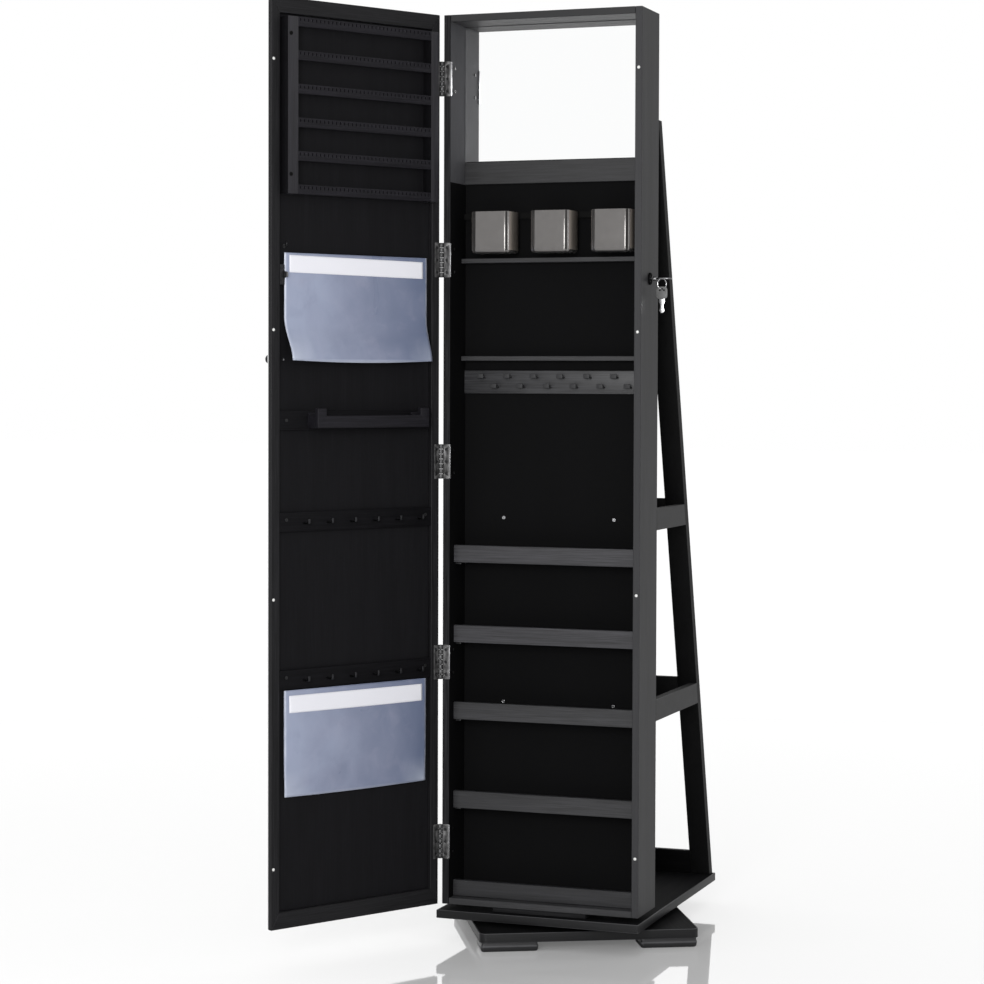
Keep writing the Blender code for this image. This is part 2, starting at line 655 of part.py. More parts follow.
def cup_hook(name, x, frame):
    """A bent strip from the cup's back wall over the rail."""
    start = CUP_BACK - CUP_WALL / 2
    end = CUP_RAIL_BACK + CUP_SLACK + CUP_HOOK_SHEET
    top = CUP_HIGH + CUP_HOOK_SHEET
    low = CUP_HIGH - CUP_HOOK_DROP
    outline = [(start, low), (CUP_BACK + CUP_SLACK / 2, low), (CUP_BACK + CUP_SLACK / 2, CUP_HIGH),
               (end - CUP_HOOK_SHEET, CUP_HIGH), (end - CUP_HOOK_SHEET, low), (end, low), (end, top),
               (start, top)]
    half = CUP_HOOK_WIDTH / 2
    return prism(name + "_hook", outline, "X", x - half, x + half, frame, soft=False)


def build_lock(case):
    """Lock body in the right panel, its plug with cam and key, the ring and the spare key."""
    inner_end = CABINET_WIDTH - PANEL_THICKNESS - LOCK_INNER_REACH
    bore = PLUG_RADIUS + PLUG_GAP
    flange = CABINET_WIDTH + FIT_GAP
    profile = [(bore, inner_end), (LOCK_BODY_RADIUS, inner_end), (LOCK_BODY_RADIUS, flange),
               (LOCK_FLANGE_RADIUS, flange), (LOCK_FLANGE_RADIUS, flange + LOCK_FLANGE),
               (bore, flange + LOCK_FLANGE)]
    mesh = turned_mesh([(radius, x - LOCK.x) for radius, x in profile], True)
    mesh.transform(Matrix.Rotation(math.pi / 2, 4, "Y"))
    smooth(add("lock_housing", mesh, LOCK, case, "nickel"))

    turn = Frame("lock_turn", LOCK, case)
    cam_high = inner_end - FIT_GAP
    cam_low = cam_high - CAM_THICKNESS
    plug = prism("lock_plug_and_key", circle(PLUG_RADIUS, ROUND_STEPS, (LOCK.y, LOCK.z)), "X",
                 cam_low, PLUG_OUT, turn, "nickel", soft=False)
    half = CAM_WIDTH / 2
    cam = box("cam", (cam_low, LOCK.y - half, LOCK.z), (cam_high, LOCK.y + half, LOCK.z + CAM_LENGTH), turn,
              soft=False)
    half_key = KEY_THICKNESS / 2
    shank = box("key_shank", (PLUG_OUT - SINK, LOCK.y - half_key, LOCK.z - KEY_SHANK_WIDTH / 2),
                (KEY_BOW_X, LOCK.y + half_key, LOCK.z + KEY_SHANK_WIDTH / 2), turn, soft=False)
    bow = prism("key_bow", circle(KEY_BOW_RADIUS, ROUND_STEPS, (KEY_BOW_X, LOCK.z)), "Y",
                LOCK.y - half_key, LOCK.y + half_key, turn, soft=False)
    hole = prism("key_hole", circle(KEY_HOLE_RADIUS, FINE_STEPS, (RING_PIVOT.x, LOCK.z)), "Y",
                 LOCK.y - 2 * half_key, LOCK.y + 2 * half_key, turn, soft=False)
    combine(plug, "UNION", cam, shank, bow)
    combine(plug, "DIFFERENCE", hole)
    build_ring(turn)


def build_ring(turn):
    swing = Frame("ring_swing", RING_PIVOT, turn)
    wire = circle(RING_WIRE, 8, (RING_RADIUS, 0.0))
    mesh = turned_mesh(wire, True)
    mesh.transform(Matrix.Rotation(math.pi / 2, 4, "Y"))
    smooth(add("key_ring", mesh, RING_PIVOT - Vector((0.0, 0.0, RING_RADIUS)), swing, "nickel"))

    hang = Frame("spare_key_swing", SPARE_PIVOT, swing)
    half = KEY_THICKNESS / 2
    head_high = SPARE_PIVOT.z + SPARE_HOLE_DROP
    head_low = head_high - SPARE_HEAD_HEIGHT
    middle = (head_high + head_low) / 2
    head = [(SPARE_PIVOT.x + across, middle + up) for across, up in rounded_rectangle(
        SPARE_HEAD_WIDTH, SPARE_HEAD_HEIGHT, SPARE_HEAD_CORNER_SHARE * SPARE_HEAD_WIDTH)]
    key = prism("spare_key", head, "Y", LOCK.y - half, LOCK.y + half, hang, "keyhead", soft=False)
    blade = box("spare_blade", (SPARE_PIVOT.x - SPARE_BLADE_WIDTH / 2, LOCK.y - half / 2,
                                head_low - SPARE_BLADE_LENGTH),
                (SPARE_PIVOT.x + SPARE_BLADE_WIDTH / 2, LOCK.y + half / 2, head_low + SINK), hang,
                soft=False)
    hole = prism("spare_hole", circle(KEY_HOLE_RADIUS, FINE_STEPS, (SPARE_PIVOT.x, SPARE_PIVOT.z)), "Y",
                 LOCK.y - 2 * half, LOCK.y + 2 * half, hang, soft=False)
    combine(key, "UNION", blade)
    combine(key, "DIFFERENCE", hole)


def build_door(door):
    low, high = CABINET_LOW, CABINET_HEIGHT
    in_low, in_high = low + DOOR_BOTTOM_RAIL, high - DOOR_TOP_RAIL
    stile = DOOR_STILE_WIDTH
    right = DOOR_WIDTH
    mitre = 2 * FIT_GAP
    depth = (DOOR_FRAME_Y, DOOR_INNER_Y)
    hinge_stile = [(0.0, low + mitre), (stile, in_low + mitre), (stile, in_high - mitre),
                   (0.0, high - mitre)]
    free_stile = [(right - x, z) for x, z in reversed(hinge_stile)]
    prism("door_stile_hinge", hinge_stile, "Y", *depth, door)
    prism("door_stile_free", free_stile, "Y", *depth, door)
    prism("door_rail_bottom", [(0.0, low), (right, low), (right - stile, in_low), (stile, in_low)],
          "Y", *depth, door)
    prism("door_rail_top", [(0.0, high), (stile, in_high), (right - stile, in_high), (right, high)],
          "Y", *depth, door)
    box("door_board", (DOOR_LEFT, DOOR_FRAME_Y, in_low + FIT_GAP),
        (DOOR_RIGHT, DOOR_BOARD_Y, in_high - FIT_GAP), door, "inside")
    box("door_mirror", (MIRROR_MARGIN, DOOR_OUTER_Y, low + MIRROR_MARGIN),
        (right - MIRROR_MARGIN, DOOR_OUTER_Y + MIRROR_THICKNESS, high - MIRROR_MARGIN), door, "mirror")
    build_earring_rack(door)
    build_pouches(door)
    build_bracelet_holder(door)
    build_door_hooks(door)
    build_knob(door)
    build_strike(door)


def build_earring_rack(door):
    low, high = level(RACK_LOW_LEVEL_SHARE), level(RACK_HIGH_LEVEL_SHARE)
    left, right = DOOR_LEFT + RACK_HINGE_GAP, DOOR_RIGHT - RACK_FREE_GAP
    front = DOOR_FIT_Y + RACK_DEPTH
    rack = box("earring_rack", (left, DOOR_FIT_Y, low), (left + RACK_HINGE_STILE, front, high), door,
               soft=False)
    pieces = [box("rack_stile", (right - RACK_FREE_STILE, DOOR_FIT_Y, low), (right, front, high), door,
                  soft=False)]
    pitch = (high - low - RACK_BAR_HEIGHT) / (RACK_BAR_COUNT - 1)
    for number in range(RACK_BAR_COUNT):
        bar_low = low + number * pitch
        pieces.append(box(f"rack_bar_{number}",
                          (left + RACK_HINGE_STILE - SINK, front - RACK_BAR_THICKNESS, bar_low),
                          (right - RACK_FREE_STILE + SINK, front, bar_low + RACK_BAR_HEIGHT), door,
                          soft=False))
    combine(rack, "UNION", *pieces)


def build_pouches(door):
    half = POUCH_WIDTH / 2
    middle = (DOOR_LEFT + DOOR_RIGHT) / 2
    back = DOOR_FIT_Y
    for number, share in enumerate(POUCH_TOP_LEVEL_SHARES, 1):
        top = level(share)
        low = top - POUCH_HEIGHT
        belly = [(back + POUCH_BELLY_DEPTH, low + share * POUCH_HEIGHT) for share in POUCH_BELLY_SHARES]
        outline = [(back, top), (back, low), (back + POUCH_FOLD_SHARE * POUCH_BELLY_DEPTH, low), *belly,
                   (back + POUCH_TOP_DEPTH, top)]
        prism(f"pouch_{number}", outline, "X", middle - half, middle + half, door, "mesh", soft=False)


def build_bracelet_holder(door):
    low = level(BRACELET_LEVEL_SHARE)
    left = DOOR_LEFT + BRACELET_START_SHARE * DOOR_CLEAR_WIDTH
    right = DOOR_LEFT + BRACELET_END_SHARE * DOOR_CLEAR_WIDTH
    bar_low = low + (BRACELET_RAIL_HEIGHT - BRACELET_BAR_HEIGHT) / 4
    far = DOOR_INNER_Y + BRACELET_STAND + BRACELET_BAR_DEPTH
    holder = box("bracelet_holder", (DOOR_LEFT, DOOR_FIT_Y, low),
                 (DOOR_RIGHT, DOOR_INNER_Y, low + BRACELET_RAIL_HEIGHT), door, soft=False)
    bar = box("bracelet_bar", (left, far - BRACELET_BAR_DEPTH, bar_low),
              (right, far, bar_low + BRACELET_BAR_HEIGHT), door, soft=False)
    arms = []
    for side, arm_left in enumerate((left, right - BRACELET_ARM_WIDTH)):
        arms.append(box(f"bracelet_arm_{side}", (arm_left, DOOR_INNER_Y - SINK, bar_low),
                        (arm_left + BRACELET_ARM_WIDTH, far, bar_low + BRACELET_ARM_HEIGHT), door,
                        soft=False))
    combine(holder, "UNION", bar, *arms)


def build_door_hooks(door):
    pitch = DOOR_HOOK_PITCH_SHARE * DOOR_CLEAR_WIDTH
    start = DOOR_LEFT + DOOR_HOOK_START_SHARE * DOOR_CLEAR_WIDTH
    for number, share in enumerate(DOOR_HOOK_LEVEL_SHARES, 1):
        low = level(share)
        rail = box(f"door_hook_rail_{number}", (DOOR_LEFT, DOOR_FIT_Y, low),
                   (DOOR_RIGHT, DOOR_INNER_Y, low + DOOR_HOOK_RAIL_HEIGHT), door, soft=False)
        height = low + DOOR_HOOK_ROW_SHARE * DOOR_HOOK_RAIL_HEIGHT
        starts = [(start + pitch * i, height) for i in range(HOOKS_PER_ROW)]
        combine(rail, "UNION", hook_row(f"door_hooks_{number}", starts, DOOR_INNER_Y, 1, door))


def build_knob(door):
    profile = [(0.0, 0.0)]
    profile += [(across * KNOB_NECK, along * KNOB_LENGTH) for across, along in KNOB_NECK_PROFILE]
    profile += [(across * KNOB_RADIUS, along * KNOB_LENGTH) for across, along in KNOB_HEAD_PROFILE]
    profile.append((0.0, KNOB_LENGTH))
    mesh = turned_mesh(profile, False, FINE_STEPS)
    mesh.transform(Matrix.Rotation(math.pi / 2, 4, "X"))
    place = (DOOR_WIDTH - KNOB_INSET, DOOR_OUTER_Y - FIT_GAP, level(KNOB_LEVEL_SHARE))
    smooth(add("door_knob", mesh, place, door, "gunmetal"))


def build_strike(door):
    """A keeper beside the free stile; its tab stands next to the lock's cam."""
    middle = level(LOCK_LEVEL_SHARE)
    right = DOOR_RIGHT - FIT_GAP
    low, high = middle - STRIKE_HEIGHT / 2, middle + STRIKE_HEIGHT / 2
    base = DOOR_FIT_Y + STRIKE_BASE
    outline = [(right - STRIKE_WIDTH, DOOR_FIT_Y), (right, DOOR_FIT_Y), (right, base),
               (right - STRIKE_WIDTH + STRIKE_TAB_THICKNESS, base),
               (right - STRIKE_WIDTH + STRIKE_TAB_THICKNESS, base + STRIKE_TAB),
               (right - STRIKE_WIDTH, base + STRIKE_TAB)]
    prism("lock_strike", outline, "Z", low, high, door, "gunmetal", soft=False)


def knuckle(name, low, high, sheet, frame):
    """A solid knuckle on the hinge axis with a tongue that runs into its leaf."""
    near, far = sorted(sheet)
    first = math.asin(far / HINGE_KNUCKLE_RADIUS)
    last = 2 * math.pi + math.asin(near / HINGE_KNUCKLE_RADIUS)
    tongue = -DOOR_AXIS_X + SINK
    outline = [(tongue, near), (tongue, far)]
    for step in range(FINE_STEPS + 1):
        angle = first + (last - first) * step / FINE_STEPS
        outline.append((HINGE_KNUCKLE_RADIUS * math.cos(angle), HINGE_KNUCKLE_RADIUS * math.sin(angle)))
    placed = [(DOOR_AXIS_X + across, DOOR_AXIS_Y + up) for across, up in outline]
    return prism(name, placed, "Z", low, high, frame, "gunmetal", soft=False)


def build_hinges(case, door):
    """Butt hinges: the cabinet leaf keeps both end knuckles, the door leaf the middle one."""
    third = HINGE_HEIGHT / 3
    inner = HINGE_LEAF_SET_IN
    outer = inner + HINGE_SHEET
    for number, share in enumerate(HINGE_LEVEL_SHARES, 1):
        low = level(share) - HINGE_HEIGHT / 2
        high = low + HINGE_HEIGHT
        case_leaf = box(f"cabinet_hinge_leaf_{number}", (0.0, DOOR_AXIS_Y + inner, low),
                        (PANEL_THICKNESS, DOOR_AXIS_Y + outer, high), case, "gunmetal", soft=False)
        combine(case_leaf, "UNION",
                knuckle(f"knuckle_low_{number}", low, low + third, (inner, outer), case),
                knuckle(f"knuckle_high_{number}", high - third, high, (inner, outer), case))
        door_leaf = box(f"door_hinge_leaf_{number}", (0.0, DOOR_AXIS_Y - outer, low),
                        (DOOR_LEAF_WIDTH, DOOR_AXIS_Y - inner, high), door, "gunmetal", soft=False)
        combine(door_leaf, "UNION",
                knuckle(f"knuckle_mid_{number}", low + third + FIT_GAP, high - third - FIT_GAP,
                        (-outer, -inner), door))


def rest_on_origin(root):
    """Moves everything so that the origin is on the floor under the middle of the object's box."""
    bpy.context.view_layer.update()
    graph = bpy.context.evaluated_depsgraph_get()
    corners = []
    for obj in PARTS.objects:
        if obj.type == "MESH":
            solid = obj.evaluated_get(graph)
            corners += [obj.matrix_world @ Vector(corner) for corner in solid.bound_box]
    low = Vector(map(min, zip(*corners)))
    high = Vector(map(max, zip(*corners)))
    root.empty.location = (-(low.x + high.x) / 2, -(low.y + high.y) / 2, -low.z)
    bpy.context.view_layer.update()


def build():
    root = Frame("armoire", Vector((0.0, 0.0, 0.0)))
    base = Frame("base", SWIVEL, root, BASE_TURN)
    turntable = Frame("turntable_swivel", SWIVEL, root)
    door = Frame("door_hinge", DOOR_AXIS, turntable, -DOOR_OPENING)
    build_base(base)
    build_turntable(turntable)
    build_case(turntable)
    build_legs(turntable)
    build_cup_rail(turntable)
    build_cups(turntable)
    build_lock(turntable)
    build_door(door)
    build_hinges(turntable, door)
    rest_on_origin(root)
    return root


ROOT = build()
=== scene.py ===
"""Looks of the rotating jewelry armoire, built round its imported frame.

Places are given in three spaces: the cabinet's (X right from the left panel's outer face, Y back from
the panels' front edges, Z up from the floor), the closed door's, which is the cabinet's swung open
about the hinges, and the base's, turned about the swivel. Lengths are in metres.
"""
import json
import math

import bmesh
import bpy
from mathutils import Matrix, Vector, noise


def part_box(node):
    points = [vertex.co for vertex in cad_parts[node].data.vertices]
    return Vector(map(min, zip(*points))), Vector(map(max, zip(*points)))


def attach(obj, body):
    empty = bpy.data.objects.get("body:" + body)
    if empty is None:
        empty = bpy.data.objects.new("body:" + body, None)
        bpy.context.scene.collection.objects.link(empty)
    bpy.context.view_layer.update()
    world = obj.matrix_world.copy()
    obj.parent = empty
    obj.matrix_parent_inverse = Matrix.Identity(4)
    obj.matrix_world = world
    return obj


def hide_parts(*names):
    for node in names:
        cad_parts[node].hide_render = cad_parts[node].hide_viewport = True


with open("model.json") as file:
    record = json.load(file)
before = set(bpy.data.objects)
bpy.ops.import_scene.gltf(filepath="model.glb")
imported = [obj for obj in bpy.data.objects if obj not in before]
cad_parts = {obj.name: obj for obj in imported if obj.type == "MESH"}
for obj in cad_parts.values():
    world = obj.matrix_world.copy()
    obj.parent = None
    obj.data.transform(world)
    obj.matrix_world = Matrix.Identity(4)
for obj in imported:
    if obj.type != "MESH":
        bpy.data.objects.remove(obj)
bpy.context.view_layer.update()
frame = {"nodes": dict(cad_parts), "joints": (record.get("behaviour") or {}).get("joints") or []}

NODES = frame["nodes"]
JOINTS = {joint["name"]: joint for joint in frame["joints"]}


def middle(corners):
    return (corners[0] + corners[1]) / 2


def between(low, high, share):
    return low + share * (high - low)


def about(place, half):
    return place - half, place + half


def joint_point(name):
    return Vector(JOINTS[name]["pos_m"])


def turned_about(point, angle):
    return Matrix.Translation(point) @ Matrix.Rotation(angle, 4, "Z") @ Matrix.Translation(-point)


PANEL_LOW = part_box("left_panel")[0]
CASE = Matrix.Translation((PANEL_LOW.x, PANEL_LOW.y, 0.0))
DOOR_OPENING = math.radians(JOINTS["door_hinge"]["range_deg"][0])
DOOR = turned_about(joint_point("door_hinge"), DOOR_OPENING) @ CASE
FEET_LINE = middle(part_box("base_foot_2")) - middle(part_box("base_foot_1"))
BASE_TURN = math.atan2(FEET_LINE.y, FEET_LINE.x)
BASE = Matrix.Translation(joint_point("turntable_swivel")) @ Matrix.Rotation(BASE_TURN, 4, "Z")
WORLD = Matrix.Identity(4)


def span(node, space):
    """Lowest and highest corner of a CAD node in one of the spaces."""
    inverse = space.inverted()
    points = [inverse @ vertex.co for vertex in NODES[node].data.vertices]
    return Vector(map(min, zip(*points))), Vector(map(max, zip(*points)))


def case_joint(name):
    return CASE.inverted() @ joint_point(name)


HINGE_AXIS = case_joint("door_hinge")

# A gap or lap between faces that would otherwise coincide, and the usual rims of metal and of boards
HAIR = 0.0002
METAL_EDGE = 0.0004
FRAME_EDGE = 0.0008
BOARD_EDGE = 0.0009

# Outlines

CORNER_LIMIT = 0.45


def circle(radius, steps=24, centre=(0.0, 0.0)):
    return [(centre[0] + radius * math.cos(2 * math.pi * i / steps),
             centre[1] + radius * math.sin(2 * math.pi * i / steps)) for i in range(steps)]


def rectangle(low, high):
    return [(low[0], low[1]), (high[0], low[1]), (high[0], high[1]), (low[0], high[1])]


def rounded(outline, radius, steps=4):
    """An outline with each corner replaced by a small curve."""
    points = []
    for i, corner in enumerate(outline):
        here = Vector(corner)
        before = Vector(outline[i - 1]) - here
        after = Vector(outline[(i + 1) % len(outline)]) - here
        reach = min(radius, CORNER_LIMIT * before.length, CORNER_LIMIT * after.length)
        start = here + before.normalized() * reach
        end = here + after.normalized() * reach
        for step in range(steps + 1):
            t = step / steps
            points.append(tuple((1 - t) ** 2 * start + 2 * t * (1 - t) * here + t * t * end))
    return points


def rounded_square(width, depth, corner, centre=(0.0, 0.0), steps=6):
    """True quarter circles at the corners, anticlockwise."""
    points = []
    for quarter, (side_x, side_y) in enumerate(((1, 1), (-1, 1), (-1, -1), (1, -1))):
        for step in range(steps + 1):
            angle = math.pi / 2 * (quarter + step / steps)
            x = side_x * (width / 2 - corner) + corner * math.cos(angle)
            y = side_y * (depth / 2 - corner) + corner * math.sin(angle)
            points.append((centre[0] + x, centre[1] + y))
    return points


def arc(turn, steps):
    """Cosine and sine at even steps through a turn."""
    return [(math.cos(turn * i / steps), math.sin(turn * i / steps)) for i in range(steps + 1)]


# Meshes

ALONG = {
    "X": Matrix(((0, 0, 1), (1, 0, 0), (0, 1, 0))).to_4x4(),
    "Y": Matrix(((1, 0, 0), (0, 0, -1), (0, 1, 0))).to_4x4(),
    "Z": Matrix.Identity(4),
}
FACING = {
    "front": Matrix.Rotation(math.pi / 2, 4, "X"),
    "back": Matrix.Rotation(-math.pi / 2, 4, "X"),
    "right": Matrix.Rotation(math.pi / 2, 4, "Y"),
    "left": Matrix.Rotation(-math.pi / 2, 4, "Y"),
}
WELD = 1e-6
SMOOTH_BELOW = math.radians(38.0)


def new_object(name, data, place=WORLD):
    obj = bpy.data.objects.new(name, data)
    bpy.context.scene.collection.objects.link(obj)
    obj.matrix_world = place
    return obj


def mesh_from(bm):
    mesh = bpy.data.meshes.new("mesh")
    bm.to_mesh(mesh)
    bm.free()
    return mesh


def cleaned(mesh):
    bm = bmesh.new()
    bm.from_mesh(mesh)
    bmesh.ops.remove_doubles(bm, verts=bm.verts, dist=WELD)
    bmesh.ops.recalc_face_normals(bm, faces=bm.faces)
    return mesh_from(bm)


def moved(mesh, matrix):
    mesh.transform(matrix)
    return mesh


def merged(*meshes):
    bm = bmesh.new()
    for mesh in meshes:
        bm.from_mesh(mesh)
    return mesh_from(bm)


def plate(outlines, axis, low, high, edge=0.0, edge_steps=1):
    """A flat outline, with any holes after it, drawn out along an axis, with softened rims."""
    curve = bpy.data.curves.new("outline", "CURVE")
    curve.dimensions = "2D"
    curve.fill_mode = "BOTH"
    curve.extrude = (high - low) / 2 - edge
    curve.bevel_depth = edge
    curve.bevel_resolution = edge_steps
    curve.offset = -edge
    for outline in outlines:
        spline = curve.splines.new("POLY")
        spline.points.add(len(outline) - 1)
        for point, (across, up) in zip(spline.points, outline):
            point.co = (across, up, 0.0, 1.0)
        spline.use_cyclic_u = True
    holder = new_object("outline", curve)
    graph = bpy.context.evaluated_depsgraph_get()
    mesh = bpy.data.meshes.new_from_object(holder.evaluated_get(graph))
    bpy.data.objects.remove(holder, do_unlink=True)
    shift = [0.0, 0.0, 0.0]
    shift["XYZ".index(axis)] = (low + high) / 2
    return cleaned(moved(mesh, Matrix.Translation(shift) @ ALONG[axis]))


def slab(low, high, edge, steps=2):
    """A board with rounded edges all round."""
    low, high = Vector(low), Vector(high)
    bm = bmesh.new()
    bmesh.ops.create_cube(bm, size=1.0)
    bmesh.ops.scale(bm, vec=high - low, verts=bm.verts)
    bmesh.ops.translate(bm, vec=(low + high) / 2, verts=bm.verts)
    bmesh.ops.bevel(bm, geom=bm.edges[:], offset=edge, segments=steps, profile=0.5, affect="EDGES")
    return mesh_from(bm)


def loft(rings, closed=False):
    """Joins rings of equally many points into a skin, capped at its ends or closed on itself."""
    bm = bmesh.new()
    loops = [[bm.verts.new(point) for point in ring] for ring in rings]
    count = len(loops[0])
    pairs = list(zip(loops, loops[1:]))
    if closed:
        pairs.append((loops[-1], loops[0]))
    for first, second in pairs:
        for i in range(count):
            j = (i + 1) % count
            bm.faces.new((first[i], first[j], second[j], second[i]))
    if not closed:
        bm.faces.new(list(reversed(loops[0])))
        bm.faces.new(loops[-1])
    bmesh.ops.recalc_face_normals(bm, faces=bm.faces)
    return mesh_from(bm)


def lathe(profile, steps=24):
    """A profile of (radius, height) points turned about Z; ends on the axis close it."""
    rings = [[(x, y, height) for x, y in circle(radius, steps)] for radius, height in profile]
    return cleaned(loft(rings))


def turned(profile, place, facing, steps=24):
    """A lathed profile that stands at a place and faces one way."""
    return moved(lathe(profile, steps), Matrix.Translation(place) @ FACING[facing])


def sweep(path, radius, sides):
    """A round wire along a path."""
    points = [Vector(point) for point in path]
    rings = []
    side = None
    for i, point in enumerate(points):
        along = (points[min(i + 1, len(points) - 1)] - points[max(i - 1, 0)]).normalized()
        if side is None:
            side = along.orthogonal().normalized()
        side = (side - along * side.dot(along)).normalized()
        up = along.cross(side)
        rings.append([point + radius * (x * side + y * up) for x, y in circle(1.0, sides)])
    return loft(rings)


def piece(name, mesh, space, body, material, node=None):
    """An object that rides on a body, and stands in for a CAD node if one is named."""
    mesh.name = name
    mesh.shade_smooth()
    mesh.set_sharp_from_angle(angle=SMOOTH_BELOW)
    mesh.materials.clear()
    mesh.materials.append(material)
    obj = new_object(name, mesh, space)
    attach(obj, body)
    if node:
        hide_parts(node)
    return obj


def refinish(obj, material, chosen):
    """Gives the faces that a test picks another finish."""
    obj.data.materials.append(material)
    for face in obj.data.polygons:
        if chosen(face):
            face.material_index = len(obj.data.materials) - 1


# Materials

def add_node(tree, kind, settings=(), inputs=()):
    """A shader node; each input, by name or number, takes a link or a plain value."""
    node = tree.nodes.new(kind)
    for key, value in dict(settings).items():
        setattr(node, key, value)
    for key, value in dict(inputs).items():
        if hasattr(value, "is_output"):
            tree.links.new(value, node.inputs[key])
        else:
            node.inputs[key].default_value = value
    return node


def scaled(colour, factor):
    return tuple(channel * factor for channel in colour)


def opaque(colour):
    return (*colour, 1.0)


class Look:
    """One material's nodes round a Principled shader."""

    def __init__(self, name, colour, roughness, sockets=()):
        self.material = bpy.data.materials.new(name)
        self.material.use_nodes = True
        self.tree = self.material.node_tree
        self.shader = self.tree.nodes["Principled BSDF"]
        self.turn = 0.0
        given = {"Base Color": opaque(colour), "Roughness": roughness, **dict(sockets)}
        for socket, value in given.items():
            self.shader.inputs[socket].default_value = value

    def node(self, kind, settings=(), **inputs):
        named = {key.replace("_", " "): value for key, value in inputs.items()}
        return add_node(self.tree, kind, settings, named)

    def coords(self, scale=(1.0, 1.0, 1.0)):
        place = self.node("ShaderNodeTexCoord").outputs["Object"]
        stretch = tuple(1.0 / share for share in scale)
        return self.node("ShaderNodeMapping", {"vector_type": "TEXTURE"}, Vector=place,
                         Rotation=(0.0, 0.0, self.turn), Scale=stretch).outputs["Vector"]

    def place(self):
        return self.node("ShaderNodeSeparateXYZ", Vector=self.coords()).outputs

    def grain(self, scale, detail=4.0, rough=0.6, distortion=0.0):
        made = self.node("ShaderNodeTexNoise", Vector=self.coords(scale), Scale=1.0, Detail=detail,
                         Roughness=rough, Distortion=distortion)
        return made.outputs["Fac"]

    def cloud(self, scale, distortion=0.0):
        return self.grain(scale, detail=3.0, rough=0.5, distortion=distortion)

    def ramp(self, factor, stops):
        made = self.node("ShaderNodeValToRGB", Fac=factor)
        elements = made.color_ramp.elements
        while len(elements) < len(stops):
            elements.new(0.5)
        for element, (place, colour) in zip(elements, stops):
            element.position = place
            element.color = opaque(colour)
        return made.outputs["Color"]

    def tones(self, factor, colour, shares):
        """A colour made darker or paler by a share at each place along a factor."""
        return self.ramp(factor, [(place, scaled(colour, share)) for place, share in shares])

    def mottled(self, factor, colour, dark, pale):
        return self.tones(factor, colour, ((0.3, dark), (0.7, pale)))

    def span(self, factor, low, high, start=0.3, end=0.7):
        return self.node("ShaderNodeMapRange", Value=factor, From_Min=start, From_Max=end,
                         To_Min=low, To_Max=high).outputs["Result"]

    def math(self, operation, *values):
        settings = {"operation": operation}
        return add_node(self.tree, "ShaderNodeMath", settings, enumerate(values)).outputs["Value"]

    def blend(self, factor, first, second):
        inputs = {0: factor, 6: first, 7: second}
        return add_node(self.tree, "ShaderNodeMix", {"data_type": "RGBA"}, inputs).outputs[2]

    def region(self, limits):
        """1 inside a region given by limits on the object's own axes."""
        place = self.place()
        mask = None
        for letter, side, limit in limits:
            test = self.math(side, place[letter], limit)
            mask = test if mask is None else self.math("MULTIPLY", mask, test)
        return mask

    def feed(self, socket, output):
        self.tree.links.new(output, self.shader.inputs[socket])

    def bump(self, height, strength, distance):
        made = self.node("ShaderNodeBump", Height=height, Strength=strength, Distance=distance)
        self.feed("Normal", made.outputs["Normal"])


WOOD = (0.020, 0.020, 0.0215)
LINING = (0.0042, 0.0042, 0.0045)
LINED_ROUGHNESS = 0.8
# Scales of streaks along them and across them
FINE_GRAIN = (14.0, 700.0)
BROAD_GRAIN = (3.0, 60.0)
BRUSHED = (40.0, 1500.0)
CUP_BRUSHED = (12.0, 260.0)
FINE_WEIGHT = 0.75
STREAK_DARKER = 0.6
STREAK_PALER = 0.9


def streaked(axis, grain):
    return tuple(grain[0] if letter == axis else grain[1] for letter in "XYZ")


def wood(name, axis="Z", colour=WOOD, roughness=0.44, gloss=0.40, streaks=1.0, turn=0.0,
         lined=None, region=None, share=1.0):
    """Black wood laminate with fine streaks along an axis. lined gives the limits of a region lined with
    flock, and region those of one where the colour is this share of the rest."""
    look = Look(name, colour, roughness, {"Specular IOR Level": gloss})
    look.turn = turn
    fine = look.grain(streaked(axis, FINE_GRAIN), detail=5.0, rough=0.65)
    broad = look.cloud(streaked(axis, BROAD_GRAIN), distortion=0.4)
    streak = look.math("MULTIPLY_ADD", fine, FINE_WEIGHT, look.math("MULTIPLY", broad, 1.0 - FINE_WEIGHT))
    dark, pale = 1.0 - STREAK_DARKER * streaks, 1.0 + STREAK_PALER * streaks
    shade = look.tones(streak, colour, ((0.34, dark), (0.50, 1.0), (0.68, pale)))
    rough = look.span(fine, roughness - 0.08, roughness + 0.10)
    if region:
        other = look.mottled(fine, scaled(colour, share), dark=0.85, pale=1.15)
        shade = look.blend(look.region(region), shade, other)
    if lined:
        mask = look.region(lined)
        shade = look.blend(mask, shade, look.mottled(fine, LINING, dark=0.8, pale=1.3))
        rough = look.math("MAXIMUM", rough, look.math("MULTIPLY", mask, LINED_ROUGHNESS))
    look.feed("Base Color", shade)
    look.feed("Roughness", rough)
    look.bump(streak, strength=0.25 * min(1.0, streaks), distance=0.0004)
    return look.material


def lining(name):
    """Matt black flock on board."""
    sockets = {"Specular IOR Level": 0.06, "Sheen Weight": 0.04, "Sheen Roughness": 0.5}
    look = Look(name, LINING, 0.85, sockets)
    fibre = look.grain((1400.0, 1400.0, 900.0), rough=0.7)
    cloud = look.cloud((6.0, 6.0, 3.0))
    nap = look.math("MULTIPLY", fibre, cloud)
    look.feed("Base Color", look.tones(nap, LINING, ((0.12, 0.75), (0.38, 1.35))))
    look.feed("Roughness", look.span(cloud, 0.78, 0.92))
    look.bump(fibre, strength=0.3, distance=0.0003)
    return look.material


